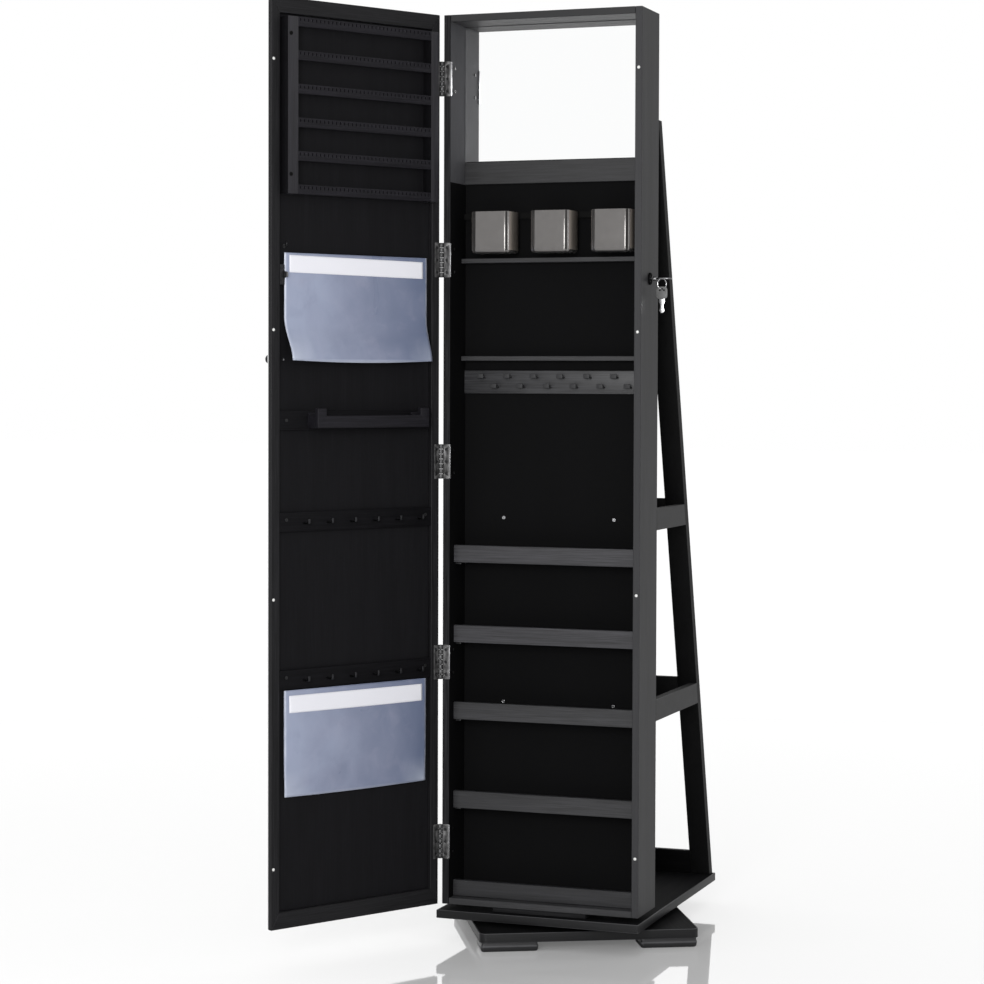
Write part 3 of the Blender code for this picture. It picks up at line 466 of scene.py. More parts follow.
def metal(name, colour, roughness, brushed="Z", wear=0.08, metallic=1.0):
    look = Look(name, colour, roughness, {"Metallic": metallic})
    brush = look.grain(streaked(brushed, BRUSHED))
    look.feed("Base Color", look.mottled(look.cloud((90.0, 90.0, 90.0)), colour, 1.0 - wear, 1.0 + wear))
    look.feed("Roughness", look.span(brush, roughness * 0.8, min(1.0, roughness * 1.25)))
    look.bump(brush, strength=0.08, distance=0.0002)
    return look.material


def mirror_glass(name):
    look = Look(name, (0.97, 0.975, 0.975), 0.015, {"Metallic": 1.0})
    look.feed("Roughness", look.span(look.cloud((5.0, 5.0, 5.0)), 0.008, 0.022))
    return look.material


def painted(name, colour, roughness, spread=0.15, gloss=0.5):
    look = Look(name, colour, roughness, {"Specular IOR Level": gloss})
    speck = look.grain((500.0, 500.0, 500.0))
    look.feed("Base Color", look.mottled(speck, colour, 1.0 - spread, 1.0 + spread))
    look.feed("Roughness", look.span(speck, roughness - 0.05, min(1.0, roughness + 0.08)))
    look.bump(speck, strength=0.12, distance=0.0002)
    return look.material


FOOT_COLOUR = (0.0165, 0.0165, 0.0176)
FOOT_TALL = 0.0158
# Share of the foot's height and the painted brightness there: painted shade low down, a painted highlight
# along the shoulder
FOOT_PAINTED_LIGHT = ((0.0, 0.7), (0.46, 1.0), (0.62, 4.6), (0.74, 1.7), (1.0, 1.3))


def foot_rubber(name):
    """Moulded rubber, with a painted highlight along its shoulder and painted shade toward the floor."""
    look = Look(name, FOOT_COLOUR, 0.34, {"Specular IOR Level": 0.3})
    rise = look.span(look.place()["Z"], 0.0, 1.0, 0.0, FOOT_TALL)
    shoulder_light = look.math("ADD", rise, look.span(look.grain((60.0, 60.0, 400.0)), -0.03, 0.03))
    look.feed("Base Color", look.tones(shoulder_light, FOOT_COLOUR, FOOT_PAINTED_LIGHT))
    grit = look.grain((900.0, 900.0, 900.0))
    look.feed("Roughness", look.span(grit, 0.30, 0.40))
    look.bump(grit, strength=0.04, distance=0.0001)
    return look.material


# The sides' paler, browner colour is painted light
CUP_SIDE = (0.34, 0.30, 0.265)
# Share of the cup's depth and the painted brightness there: painted light near the front, painted shade
# toward the back
CUP_SIDE_SHADING = ((0.0, 1.0), (0.35, 0.55), (0.75, 0.16))


def cup_side(name, front, back):
    """The smoked cup's sides, painted paler than the front as light and darkening toward the back of the
    case as painted shade.
    """
    look = Look(name, CUP_SIDE, 0.30, {"Metallic": 0.15})
    depth = look.span(look.place()["Y"], 0.0, 1.0, front, back)
    brush = look.grain(streaked("Z", CUP_BRUSHED))
    shifted = look.math("ADD", depth, look.span(brush, -0.10, 0.10))
    look.feed("Base Color", look.tones(shifted, CUP_SIDE, CUP_SIDE_SHADING))
    look.feed("Roughness", look.span(brush, 0.24, 0.38))
    return look.material


# Painted light on the free side and painted shade on the hinge side of the film
FILM_LIT_FREE_SIDE = (0.350, 0.392, 0.530)
FILM_MIDDLE = (0.245, 0.276, 0.395)
FILM_SHADED_HINGE_SIDE = (0.160, 0.195, 0.305)
FILM_CLOUD = (0.42, 0.43, 0.56)
FILM_SHADE = (0.150, 0.190, 0.290)
FILM_SEAM_HIGHLIGHT = (0.62, 0.66, 0.76)
SEAM = 0.0030
CORNER_HIGHLIGHT_REACH = 0.045
EMBOSS_SHARE = 0.12


def film(name, low, high):
    """Frosted soft plastic sheet, painted darker toward the hinges as shade and paler toward the free side
    as light, with welded seams, a lower edge and lower corners painted pale as highlights, emboss and
    creases.
    """
    look = Look(name, FILM_MIDDLE, 0.34, {"Alpha": 0.93, "Coat Weight": 0.25, "Coat Roughness": 0.2})
    emboss = look.grain((420.0, 420.0, 420.0), detail=3.0, rough=0.55)
    crease = look.cloud((11.0, 11.0, 8.0), distortion=0.8)
    cloud = look.grain((26.0, 26.0, 22.0), rough=0.55, distortion=0.5)
    place = look.place()
    across = look.span(place["X"], 0.0, 1.0, low.x, high.x)
    wavering = look.math("ADD", across, look.span(crease, -0.16, 0.16))
    # Painted shade toward the hinges and painted light toward the free side
    body = look.ramp(wavering, ((0.04, FILM_SHADED_HINGE_SIDE), (0.50, FILM_MIDDLE), (0.96, FILM_LIT_FREE_SIDE)))
    body = look.blend(look.span(cloud, 0.0, 0.22, 0.52, 0.72), body, opaque(FILM_CLOUD))
    body = look.blend(look.span(cloud, 0.20, 0.0, 0.28, 0.48), body, opaque(FILM_SHADE))
    # The welded side seams and the lower edge are painted pale: painted highlights
    seam = look.math("MAXIMUM", look.math("LESS_THAN", place["X"], low.x + SEAM),
                     look.math("GREATER_THAN", place["X"], high.x - SEAM))
    seam_highlight = look.math("MULTIPLY", seam, look.span(look.grain((60.0, 60.0, 60.0)), 0.25, 0.9))
    foot = look.span(place["Z"], 0.6, 0.0, low.z - SEAM, low.z + SEAM)
    off_centre = look.math("ABSOLUTE", look.math("SUBTRACT", across, 0.5))
    aside = look.span(off_centre, 0.0, 0.75, 0.32, 0.5)
    # Painted highlights near the lower corners
    near_foot = look.span(place["Z"], 1.0, 0.0, low.z, low.z + CORNER_HIGHLIGHT_REACH)
    corner = look.math("MULTIPLY", look.math("MULTIPLY", aside, near_foot), look.span(crease, 0.2, 1.2))
    pale = look.math("MAXIMUM", look.math("MAXIMUM", seam_highlight, foot), corner)
    look.feed("Base Color", look.blend(pale, body, opaque(FILM_SEAM_HIGHLIGHT)))
    look.feed("Roughness", look.span(crease, 0.26, 0.42))
    relief = look.math("MULTIPLY_ADD", emboss, EMBOSS_SHARE, crease)
    look.bump(relief, strength=0.35, distance=0.0016)
    return look.material


TAPE_COLOUR = (0.92, 0.92, 0.97)
TAPE_DARK = (0.88, 0.88, 0.95)
TAPE_PALE = (0.97, 0.97, 1.0)
TAPE_THREADS = (("X", 220.0), ("Z", 260.0))


def tape(name):
    """White woven tape."""
    look = Look(name, TAPE_COLOUR, 0.75)
    threads = [look.node("ShaderNodeTexWave", {"bands_direction": letter}, Vector=look.coords(),
                         Scale=scale, Distortion=0.6).outputs["Fac"] for letter, scale in TAPE_THREADS]
    weave = look.math("MULTIPLY", *threads)
    look.feed("Base Color", look.ramp(weave, ((0.1, TAPE_DARK), (0.7, TAPE_PALE))))
    look.feed("Roughness", look.span(weave, 0.66, 0.84, 0.0, 1.0))
    look.bump(weave, strength=0.4, distance=0.0003)
    return look.material


WOOD_STRIP = wood("black_wood_strip", "X", (0.0330, 0.0330, 0.0355))
# The turntable plate's wood is painted darker than the cabinet's: painted shade under the cabinet
WOOD_PLATE_SHADED = wood("black_wood_plate_painted_shade", "Y", (0.0065, 0.0065, 0.0070), 0.65, 0.02)
WOOD_BASE = wood("black_wood_base", "Y", (0.0065, 0.0065, 0.0070), 0.60, 0.04, turn=BASE_TURN)
WOOD_BAND = wood("black_edge_band", "X", (0.0085, 0.0085, 0.0092), 0.40, 0.22, 0.6)
WOOD_BASE_BAND = wood("black_base_edge_band", "X", (0.0095, 0.0095, 0.0102), 0.40, 0.22, 0.6, BASE_TURN)
WOOD_FITTING = wood("black_wood_door_fitting", "X", (0.0060, 0.0058, 0.0068), 0.55, 0.06, 0.6)
WOOD_RACK = wood("black_wood_rack", "X", (0.0115, 0.0108, 0.0138), 0.46, 0.14, 0.8)
WOOD_RACK_UP = wood("black_wood_rack_upright", "Z", (0.019, 0.0182, 0.022), 0.44, 0.30, 0.8)
# Paler colour for the edge bands' outer rims: a painted highlight
BAND_RIM_HIGHLIGHT = painted("band_rim_highlight", (0.060, 0.060, 0.064), 0.45, 0.2, 0.3)
FOOT = foot_rubber("black_foot_pad")
GUNMETAL = metal("hinge_gunmetal", (0.17, 0.17, 0.175), 0.30, "Z", 0.2)
KNUCKLE_METAL = metal("hinge_knuckle_metal", (0.105, 0.105, 0.107), 0.50, "Z", 0.35)
LEAF_METAL = metal("hinge_leaf_metal", (0.125, 0.124, 0.125), 0.42, "Z", 0.5)
BRIGHT = metal("bright_nickel", (0.70, 0.70, 0.71), 0.20, "X")
LIP_METAL = metal("hinge_lip_nickel", (0.36, 0.36, 0.37), 0.34)
DULL = metal("dull_screw_metal", (0.045, 0.045, 0.047), 0.30, "X")
BLACK_METAL = metal("black_hook_metal", (0.040, 0.040, 0.043), 0.36)
TIP_METAL = metal("grey_fitting_metal", (0.36, 0.36, 0.37), 0.26)
LOCK_BLACK = painted("black_lock_metal", (0.0035, 0.0035, 0.0037), 0.60, 0.2, 0.01)
COLLAR_METAL = metal("lock_collar_metal", (0.11, 0.11, 0.112), 0.22, "X")
RAIL_PAINT = painted("black_rail_paint", (0.0045, 0.0045, 0.0045), 0.60, 0.15, 0.06)
HOOK_PAINT = painted("black_hook_paint", (0.029, 0.029, 0.031), 0.50, 0.15, 0.30)
CUP_METAL = metal("smoked_cup", (0.165, 0.158, 0.154), 0.20, "Z", 0.05, 0.75)
CUP_SIDE_PAINTED_LIGHT = cup_side("smoked_cup_side_painted_light", *(corner.y for corner in span("cup_1", CASE)))
CUP_FLUTE_PAINTED_REFLECTION = metal("smoked_cup_flute_painted_reflection", (0.020, 0.019, 0.018), 0.30, "Z", 0.10, 0.5)
MAGNET = painted("white_magnet_cap", (0.82, 0.82, 0.80), 0.35, 0.05)
KEY_GREY = painted("key_head_moulding", (0.11, 0.11, 0.11), 0.38)
TAPE = tape("white_pouch_tape")

# Carried-over CAD nodes

SOFT_EDGE = 0.0007
SOFT_ABOVE = math.radians(50.0)
MIRROR_LIGHT_SHARE = 4.2
TOP_EDGE_SHARE = 0.50
RIGHT_EDGE_LIGHT_SHARE = 1.40
FACE_SKIN = 0.0004
EDGE_SKIN = 0.0008
BOARD_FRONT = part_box("left_panel")[0].y + EDGE_SKIN
INSIDE = ("Y", "GREATER_THAN", BOARD_FRONT)
LINED_PART = ("Z", "LESS_THAN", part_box("mirror_rail")[0].z)
LEFT_FACE = (("X", "GREATER_THAN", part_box("left_panel")[1].x - FACE_SKIN), INSIDE)
RIGHT_FACE = (("X", "LESS_THAN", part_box("right_panel")[0].x + FACE_SKIN), INSIDE)
RIGHT_EDGE = (("Y", "LESS_THAN", BOARD_FRONT),)
TOP_EDGE = (("Y", "LESS_THAN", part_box("top_board")[0].y + EDGE_SKIN),)
TRAY_SHADED_PART = (("X", "LESS_THAN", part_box("rear_tray_1")[1].x - EDGE_SKIN),)
ACROSS = (0.0255, 0.0255, 0.0275)
DOOR_FRAME = {"colour": (0.0115, 0.0113, 0.0125), "roughness": 0.48, "gloss": 0.15}


def dress(material, *nodes):
    """Gives CAD nodes their finish and softly rounded edges; their shapes stay."""
    for obj in (NODES[node] for node in nodes):
        for place in obj.material_slots:
            place.material = material
        bevel = obj.modifiers.new("soft_edges", "BEVEL")
        bevel.width = SOFT_EDGE
        bevel.segments = 2
        bevel.limit_method = "ANGLE"
        bevel.angle_limit = SOFT_ABOVE


# The left panel's inner face beside the inner mirror is painted paler: painted light from the mirror
dress(wood("black_wood_left_panel", roughness=0.60, gloss=0.03, lined=(*LEFT_FACE, LINED_PART),
           region=LEFT_FACE, share=MIRROR_LIGHT_SHARE), "left_panel")
# The right panel's front edge is painted paler: a painted highlight from light falling from the right
dress(wood("black_wood_right_panel", colour=(0.025, 0.025, 0.0268), gloss=0.25,
           lined=(*RIGHT_FACE, LINED_PART), region=RIGHT_EDGE, share=RIGHT_EDGE_LIGHT_SHARE), "right_panel")
# The legs are painted near-black: painted shade behind the cabinet
dress(wood("black_wood_leg_painted_shade", "Z", (0.0035, 0.0035, 0.0037), 0.50, 0.16), "leg_left", "leg_right")
dress(wood("black_wood_top", "X", ACROSS, region=TOP_EDGE, share=TOP_EDGE_SHARE), "top_board")
dress(wood("black_wood_shelf", "X", (0.0350, 0.0345, 0.0385)), "shelf_1", "shelf_2")
dress(wood("black_wood_rail", "X", (0.0195, 0.0195, 0.0210)), "mirror_rail")
dress(wood("black_wood_lip", "X", (0.0175, 0.0175, 0.0195)), "bottom_lip_rail")
dress(wood("black_wood_across", "X", ACROSS),
      "bottom_board", "shelf_3", "shelf_4", "upper_ledge_1", "upper_ledge_2")
# The spacer is painted darker: painted shade in the gap under the cabinet
dress(wood("black_wood_spacer_painted_shade", "X", (0.0115, 0.0115, 0.0123), 0.50, 0.10), "cabinet_spacer")
# Everything but each tray's outer right side takes the flock colour: painted shade behind the cabinet
dress(wood("black_wood_tray", "X", (0.018, 0.018, 0.019), 0.46, 0.30, lined=TRAY_SHADED_PART),
      "rear_tray_1", "rear_tray_2")
# The rear rail is painted near-black: painted shade behind the cabinet
dress(wood("black_wood_rear_rail_painted_shade", "X", (0.004, 0.004, 0.0043), 0.55, 0.05), "rear_bottom_rail")
dress(wood("black_wood_door_board", "Z", (0.0078, 0.0076, 0.0088), 0.58, 0.08, 0.4), "door_board")
dress(wood("black_wood_door_frame", "Z", streaks=1.1, **DOOR_FRAME),
      "door_stile_hinge", "door_stile_free")
dress(wood("black_wood_door_rail", "X", turn=DOOR_OPENING, **DOOR_FRAME),
      "door_rail_top", "door_rail_bottom")
dress(lining("black_flock"), "back_panel")
dress(metal("bearing_steel", (0.30, 0.30, 0.31), 0.32, "X"), "bearing_ring")
dress(RAIL_PAINT, "cup_rail")
dress(mirror_glass("mirror_glass"), "inner_mirror", "door_mirror")

# Screws

CROSS_REACH_SHARE = 0.55
CROSS_WIDTH_SHARE = 0.13
CROSS_SINK_SHARE = 0.55
HEAD_EDGE_SHARE = 0.12
SCREW_TURN = 0.6


def cross(radius):
    reach, half = CROSS_REACH_SHARE * radius, CROSS_WIDTH_SHARE * radius
    return [(reach, -half), (reach, half), (half, half), (half, reach), (-half, reach), (-half, half),
            (-reach, half), (-reach, -half), (-half, -half), (-half, -reach), (half, -reach), (half, -half)]


def screw_mesh(radius, height):
    """A pan head with a cross recess, standing on Z 0."""
    floor = height - CROSS_SINK_SHARE * height
    edge = HEAD_EDGE_SHARE * radius
    head = plate([circle(radius), cross(radius)], "Z", floor, height, edge, edge_steps=2)
    seat = lathe([(0.0, 0.0), (radius, 0.0), (radius, floor), (0.0, floor)])
    return merged(head, seat)


def screws(name, places, facing, space, body, material, radius=0.0028, height=0.0012):
    meshes = [moved(screw_mesh(radius, height), Matrix.Translation(place) @ FACING[facing]
                    @ Matrix.Rotation(SCREW_TURN * number, 4, "Z")) for number, place in enumerate(places)]
    piece(name, merged(*meshes), space, body, material)


# Base

# Inset from the CAD foot's sides and height of each ring of the bullnosed pad
FOOT_RINGS = ((0.0040, 0.0), (0.0014, 0.0009), (0.0003, 0.0026), (-0.0002, 0.0052), (-0.0006, 0.0080),
              (-0.0007, 0.0094), (-0.0005, 0.0106), (0.0002, 0.0114), (0.0006, 0.0122), (0.0006, 0.0157))
FOOT_CORNER = 0.0045
BAND_SHEET = 0.0030
BAND_EDGE = 0.0013
BASE_CORNER = 0.0123
PLATE_CORNER = 0.0015
LEAST_CORNER = 0.0005
RIM_NORMAL = (0.2, 0.97)


def build_edged_board(name, node, space, body, corner, finish, edging):
    """A board and the edging round it, flush with the CAD board's sides, with rounded rims whose outer rims
    are painted paler as a highlight.
    """
    low, high = span(node, space)
    centre = middle((low, high))
    heart = (space @ centre).xy

    def outline(inset):
        size = high - low - 2 * Vector((inset, inset, inset))
        return rounded_square(size.x, size.y, max(corner - inset, LEAST_CORNER), centre)

    def on_outer_rim(face):
        outward = face.normal.xy.dot(face.center.xy - heart) > 0
        return outward and RIM_NORMAL[0] < abs(face.normal.z) < RIM_NORMAL[1]

    board = plate([outline(BAND_SHEET - HAIR)], "Z", low.z + HAIR, high.z - HAIR)
    piece(f"{name}_core", moved(board, space), WORLD, body, finish, node)
    edge = plate([outline(0.0), outline(BAND_SHEET)], "Z", low.z, high.z, BAND_EDGE, edge_steps=3)
    band = piece(f"{name}_edge_band", moved(edge, space), WORLD, body, edging, node)
    refinish(band, BAND_RIM_HIGHLIGHT, on_outer_rim)


def build_feet():
    for number in range(1, 5):
        node = f"base_foot_{number}"
        low, high = span(node, BASE)
        size = high - low
        rings = []
        for inset, height in FOOT_RINGS:
            outline = rounded_square(size.x - 2 * inset, size.y - 2 * inset, FOOT_CORNER - inset / 2,
                                     middle((low, high)))
            rings.append([(x, y, low.z + height) for x, y in outline])
        piece(f"foot_pad_{number}", moved(loft(rings), BASE), WORLD, "base", FOOT, node)


# Hinges

KNUCKLES = 7
KNUCKLE_GAP = 0.0003
KNUCKLE_RADIUS = 0.0042
# Share of the half length from the middle and share of the radius there
KNUCKLE_SHAPE = ((-1.0, 0.68), (-0.95, 0.80), (-0.80, 0.91), (-0.50, 0.98), (0.0, 1.0), (0.50, 0.98),
                 (0.80, 0.91), (0.95, 0.80), (1.0, 0.68))
LEAF_NEAR = 0.0001
LEAF_SHEET = 0.0008
LEAF_CORNER = 0.0015
LEAF_EDGE = 0.00015
LEAF_SCREW_SHARES = (0.15, 0.5, 0.85)
LEAF_SCREW_RADIUS = 0.0024
TONGUE_REACH = 0.0012
TONGUE_EDGE = 0.00012
LIP_SHEET = 0.0012
LIP_REACH = 0.0035
LIP_SHORT = 0.0008
LIP_SCREW_Y = 0.020
LIP_SCREW_SHARES = (0.17, 0.83)
LIP_SCREW_HEIGHT = 0.001


def hinge_mesh(low, high, width, side, first):
    """A leaf with its screw holes and the tongues of its knuckles, and the knuckles on the axis. side is
    1 where the leaf lies behind the axis plane and -1 in front of it."""
    axis = HINGE_AXIS
    front, back = sorted((axis.y + side * LEAF_NEAR, axis.y + side * (LEAF_NEAR + LEAF_SHEET)))
    holes = [circle(LEAF_SCREW_RADIUS + HAIR, steps=16, centre=(width / 2, between(low, high, share)))
             for share in LEAF_SCREW_SHARES]
    outline = rounded(rectangle((0.0, low), (width, high)), LEAF_CORNER)
    leaf = [plate([outline, *holes], "Y", front, back, LEAF_EDGE)]
    barrels = []
    step = (high - low) / KNUCKLES
    for number in range(first, KNUCKLES, 2):
        bottom = low + number * step + KNUCKLE_GAP
        top = low + (number + 1) * step - KNUCKLE_GAP
        half = (top - bottom) / 2
        skin = [(share * KNUCKLE_RADIUS, bottom + half * (1 + along)) for along, share in KNUCKLE_SHAPE]
        barrel = lathe([(0.0, bottom), *skin, (0.0, top)])
        barrels.append(moved(barrel, Matrix.Translation((axis.x, axis.y, 0.0))))
        leaf.append(slab((axis.x, front, bottom), (TONGUE_REACH, back, top), TONGUE_EDGE, steps=1))
    return merged(*leaf), merged(*barrels)


def build_hinge_lip(number, low, high):
    """The leaf's edge turned in round the panel's inner corner, and the screws beside it."""
    inner = span("left_panel", CASE)[1].x
    near = inner + HAIR
    lip = slab((near, HINGE_AXIS.y + HAIR, low + LIP_SHORT),
               (near + LIP_SHEET, LIP_REACH, high - LIP_SHORT), HAIR)
    piece(f"cabinet_hinge_lip_{number}", lip, CASE, "cabinet", LIP_METAL)
    places = [(inner, LIP_SCREW_Y, between(low, high, share)) for share in LIP_SCREW_SHARES]
    screws(f"cabinet_hinge_lip_screws_{number}", places, "right", CASE, "cabinet", DULL,
           LEAF_SCREW_RADIUS, LIP_SCREW_HEIGHT)


def build_hinge_half(number, owner, space, side, first, facing):
    node = f"{owner}_hinge_leaf_{number}"
    low, high = span(node, space)
    width = high.x + (HAIR if owner == "cabinet" else 0.0)
    leaf, barrels = hinge_mesh(low.z, high.z, width, side, first)
    piece(f"{owner}_hinge_{number}", leaf, space, owner, LEAF_METAL, node)
    piece(f"{owner}_hinge_knuckles_{number}", barrels, space, owner, KNUCKLE_METAL, node)
    seat = HINGE_AXIS.y + side * (LEAF_NEAR + LEAF_SHEET)
    places = [(width / 2, seat, between(low.z, high.z, share)) for share in LEAF_SCREW_SHARES]
    screws(f"{owner}_hinge_screws_{number}", places, facing, space, owner, DULL,
           LEAF_SCREW_RADIUS, LEAF_SHEET - LEAF_NEAR)
    if owner == "cabinet":
        build_hinge_lip(number, low.z, high.z)


def build_hinges():
    for number in range(1, 6):
        build_hinge_half(number, "cabinet", CASE, 1, 0, "front")
        build_hinge_half(number, "door", DOOR, -1, 1, "back")


# Bent hooks

HOOK_REACH = 0.015
HOOK_WIRE = 0.0026
NECKLACE_HOOK = {"width": 0.0112, "tip": 0.0078, "soft": 0.0010}
NECKLACE_HOOKS = 6
NECKLACE_START = 0.0467
NECKLACE_PITCH = 0.0485
NECKLACE_ROW_SHARES = (0.70, 0.27)
STRIP_THICKNESS = 0.0042
DOOR_HOOK = {"width": 0.0042, "tip": 0.0090, "soft": 0.0022}
DOOR_HOOKS = 6
DOOR_HOOK_START = 0.0450
DOOR_HOOK_PITCH = 0.0483
DOOR_HOOK_ROW_SHARE = 0.42
DOOR_RAIL_THICKNESS = 0.0067
RAIL_SCREW_INSET = 0.013
HOOK_SCREW_SHARE = 0.62


def hook_mesh(x, y, z, out, width, tip, soft):
    """A flat bent hook; out is -1 to the front and 1 to the back."""
    inner = HOOK_REACH - HOOK_WIRE
    bend = [(0.0, 0.0), (HOOK_REACH, 0.0), (HOOK_REACH, tip), (inner, tip), (inner, HOOK_WIRE),
            (0.0, HOOK_WIRE)]
    outline = [(y + out * across, z + up - HOOK_WIRE / 2) for across, up in bend]
    return plate([rounded(outline, soft, steps=5)], "X", *about(x, width / 2), METAL_EDGE, edge_steps=2)


def build_necklace_strip():
    node = "necklace_hook_strip"
    low, high = span(node, CASE)
    face = high.y - STRIP_THICKNESS
    board = slab((low.x, face, low.z), high, BOARD_EDGE)
    piece("necklace_strip_board", board, CASE, "cabinet", WOOD_STRIP, node)
    hooks = []
    for row, share in enumerate(NECKLACE_ROW_SHARES):
        for i in range(NECKLACE_HOOKS):
            x = NECKLACE_START + NECKLACE_PITCH * (i + row / 2)
            hooks.append(hook_mesh(x, face, between(low.z, high.z, share), -1, **NECKLACE_HOOK))
    piece("necklace_hooks", merged(*hooks), CASE, "cabinet", HOOK_PAINT, node)


def rail_screws(name, low, high, face, share=0.5):
    ends = (low.x + RAIL_SCREW_INSET, high.x - RAIL_SCREW_INSET)
    screws(name, [(x, face, between(low.z, high.z, share)) for x in ends], "back", DOOR, "door", DULL)


def build_door_hook_rails():
    for number in (1, 2):
        node = f"door_hook_rail_{number}"
        low, high = span(node, DOOR)
        face = low.y + DOOR_RAIL_THICKNESS
        board = slab(low, (high.x, face, high.z), BOARD_EDGE)
        piece(f"door_hook_board_{number}", board, DOOR, "door", WOOD_FITTING, node)
        height = between(low.z, high.z, DOOR_HOOK_ROW_SHARE)
        hooks = [hook_mesh(DOOR_HOOK_START + DOOR_HOOK_PITCH * i, face, height, 1, **DOOR_HOOK)
                 for i in range(DOOR_HOOKS)]
        piece(f"door_hooks_{number}", merged(*hooks), DOOR, "door", BLACK_METAL, node)
        rail_screws(f"door_hook_board_screws_{number}", low, high, face, HOOK_SCREW_SHARE)


# Earring rack

RACK_STILE_HINGE = 0.012
RACK_STILE_FREE = 0.021
RACK_BARS = 6
RACK_BAR_HEIGHT = 0.0155
RACK_BAR_THICKNESS = 0.004
RACK_BAR_LAP = 0.0005
SLOTS_PER_BAR = 34
SLOT_WIDTH = 0.0017
SLOT_HEIGHT = 0.0048
SLOT_DROP = 0.0022
RACK_SCREW_LEVELS = (1.310, 1.540)
RACK_SCREW_INSET = 0.0060
RACK_SCREW = {"radius": 0.0032, "height": 0.0010}
RACK_LAP = 0.0006
RACK_PROUD = 0.004
RACK_FLANGE = 0.005
RACK_FLANGE_X = 0.0142
SIDEWAYS = 0.5


def build_rack():
    node = "earring_rack"
    low, high = span(node, DOOR)
    left, right = low.x + RACK_STILE_HINGE, high.x - RACK_STILE_FREE
    front = high.y + RACK_PROUD
    stiles = merged(slab(low, (left, front - RACK_FLANGE + RACK_LAP, high.z), FRAME_EDGE),
                    slab((RACK_FLANGE_X, front - RACK_FLANGE, low.z), (left, front, high.z), FRAME_EDGE),
                    slab((right, low.y, low.z), (high.x, front, high.z), FRAME_EDGE))
    uprights = piece("earring_rack_stiles", stiles, DOOR, "door", WOOD_RACK_UP, node)
    # The stiles' faces turned toward the door's free edge take the darker fitting wood: painted shade
    refinish(uprights, WOOD_FITTING, lambda face: face.normal.x > SIDEWAYS)
    pitch = (high.z - low.z - RACK_BAR_HEIGHT) / (RACK_BARS - 1)
    slot_pitch = (right - left) / SLOTS_PER_BAR
    for number in range(RACK_BARS):
        bottom = low.z + number * pitch
        top = bottom + RACK_BAR_HEIGHT
        slot_top = top - SLOT_DROP
        outlines = [rectangle((left - RACK_BAR_LAP, bottom), (right + RACK_BAR_LAP, top))]
        for i in range(SLOTS_PER_BAR):
            slot_left, slot_right = about(left + (i + 0.5) * slot_pitch, SLOT_WIDTH / 2)
            outlines.append(rectangle((slot_left, slot_top - SLOT_HEIGHT), (slot_right, slot_top)))
        bar = plate(outlines, "Y", front - RACK_BAR_THICKNESS, front - HAIR, HAIR)
        piece(f"earring_rack_bar_{number + 1}", bar, DOOR, "door", WOOD_RACK, node)
    places = [(high.x - RACK_SCREW_INSET, front, z) for z in RACK_SCREW_LEVELS]
    screws("earring_rack_screws", places, "back", DOOR, "door", RAIL_PAINT, **RACK_SCREW)


# Pouches

POUCH_COLUMNS = 72
POUCH_ROWS = 44
POUCH_SHEET = 0.0004
POUCH_GAP = 0.0016
POUCH_STAND = 0.0040
LEAST_STAND = 0.0020
BELLY_ACROSS = 0.6
BELLY_DOWN = 1.2
BELLY_END = 1.05
CURL_POWER = 1.2
RIPPLE = 0.0007
RIPPLE_WAVES = (7.0, 4.0)
RIPPLE_SEED = 3000.0
BAND_ROWS = 10
BAND_LIFT = 0.0006
BAND_HEIGHT_SHARE = 0.162
BAND_SIDE_SHARE = 0.030
POST_RADIUS = 0.0028
POST_WAIST = (0.7, 0.4)
# How far each pouch's lower edge curls off the door, its belly, the sag of its lower edge, the share of
# its height where the curl begins, how far the curl draws the sides in, and where the band runs
POUCH_FORMS = {
    1: {"curl": 0.0200, "belly": 0.0030, "sag": 0.0035, "curl_from": 0.58, "draw": 0.0033,
        "band_top": 0.020, "band_slope": 0.022},
    2: {"curl": 0.0000, "belly": 0.0055, "sag": 0.0015, "curl_from": 0.60, "draw": 0.0010,
        "band_top": 0.050, "band_slope": 0.002},
}


def smooth_step(start, end, value):
    t = min(1.0, max(0.0, (value - start) / (end - start)))
    return t * t * (3 - 2 * t)


def pouch_stand(form, u, v):
    """How far the front film stands off the door at a share across and a share down."""
    belly = form["belly"] * math.sin(math.pi * u) ** BELLY_ACROSS
    belly *= math.sin(math.pi * min(1.0, BELLY_END * v)) ** BELLY_DOWN
    curl = form["curl"] * smooth_step(form["curl_from"], 1.0, v) ** CURL_POWER
    place = Vector((RIPPLE_WAVES[0] * u, RIPPLE_WAVES[1] * v, RIPPLE_SEED * form["curl"]))
    ripple = RIPPLE * noise.noise(place) * v
    return POUCH_STAND + POUCH_GAP + belly + curl + ripple


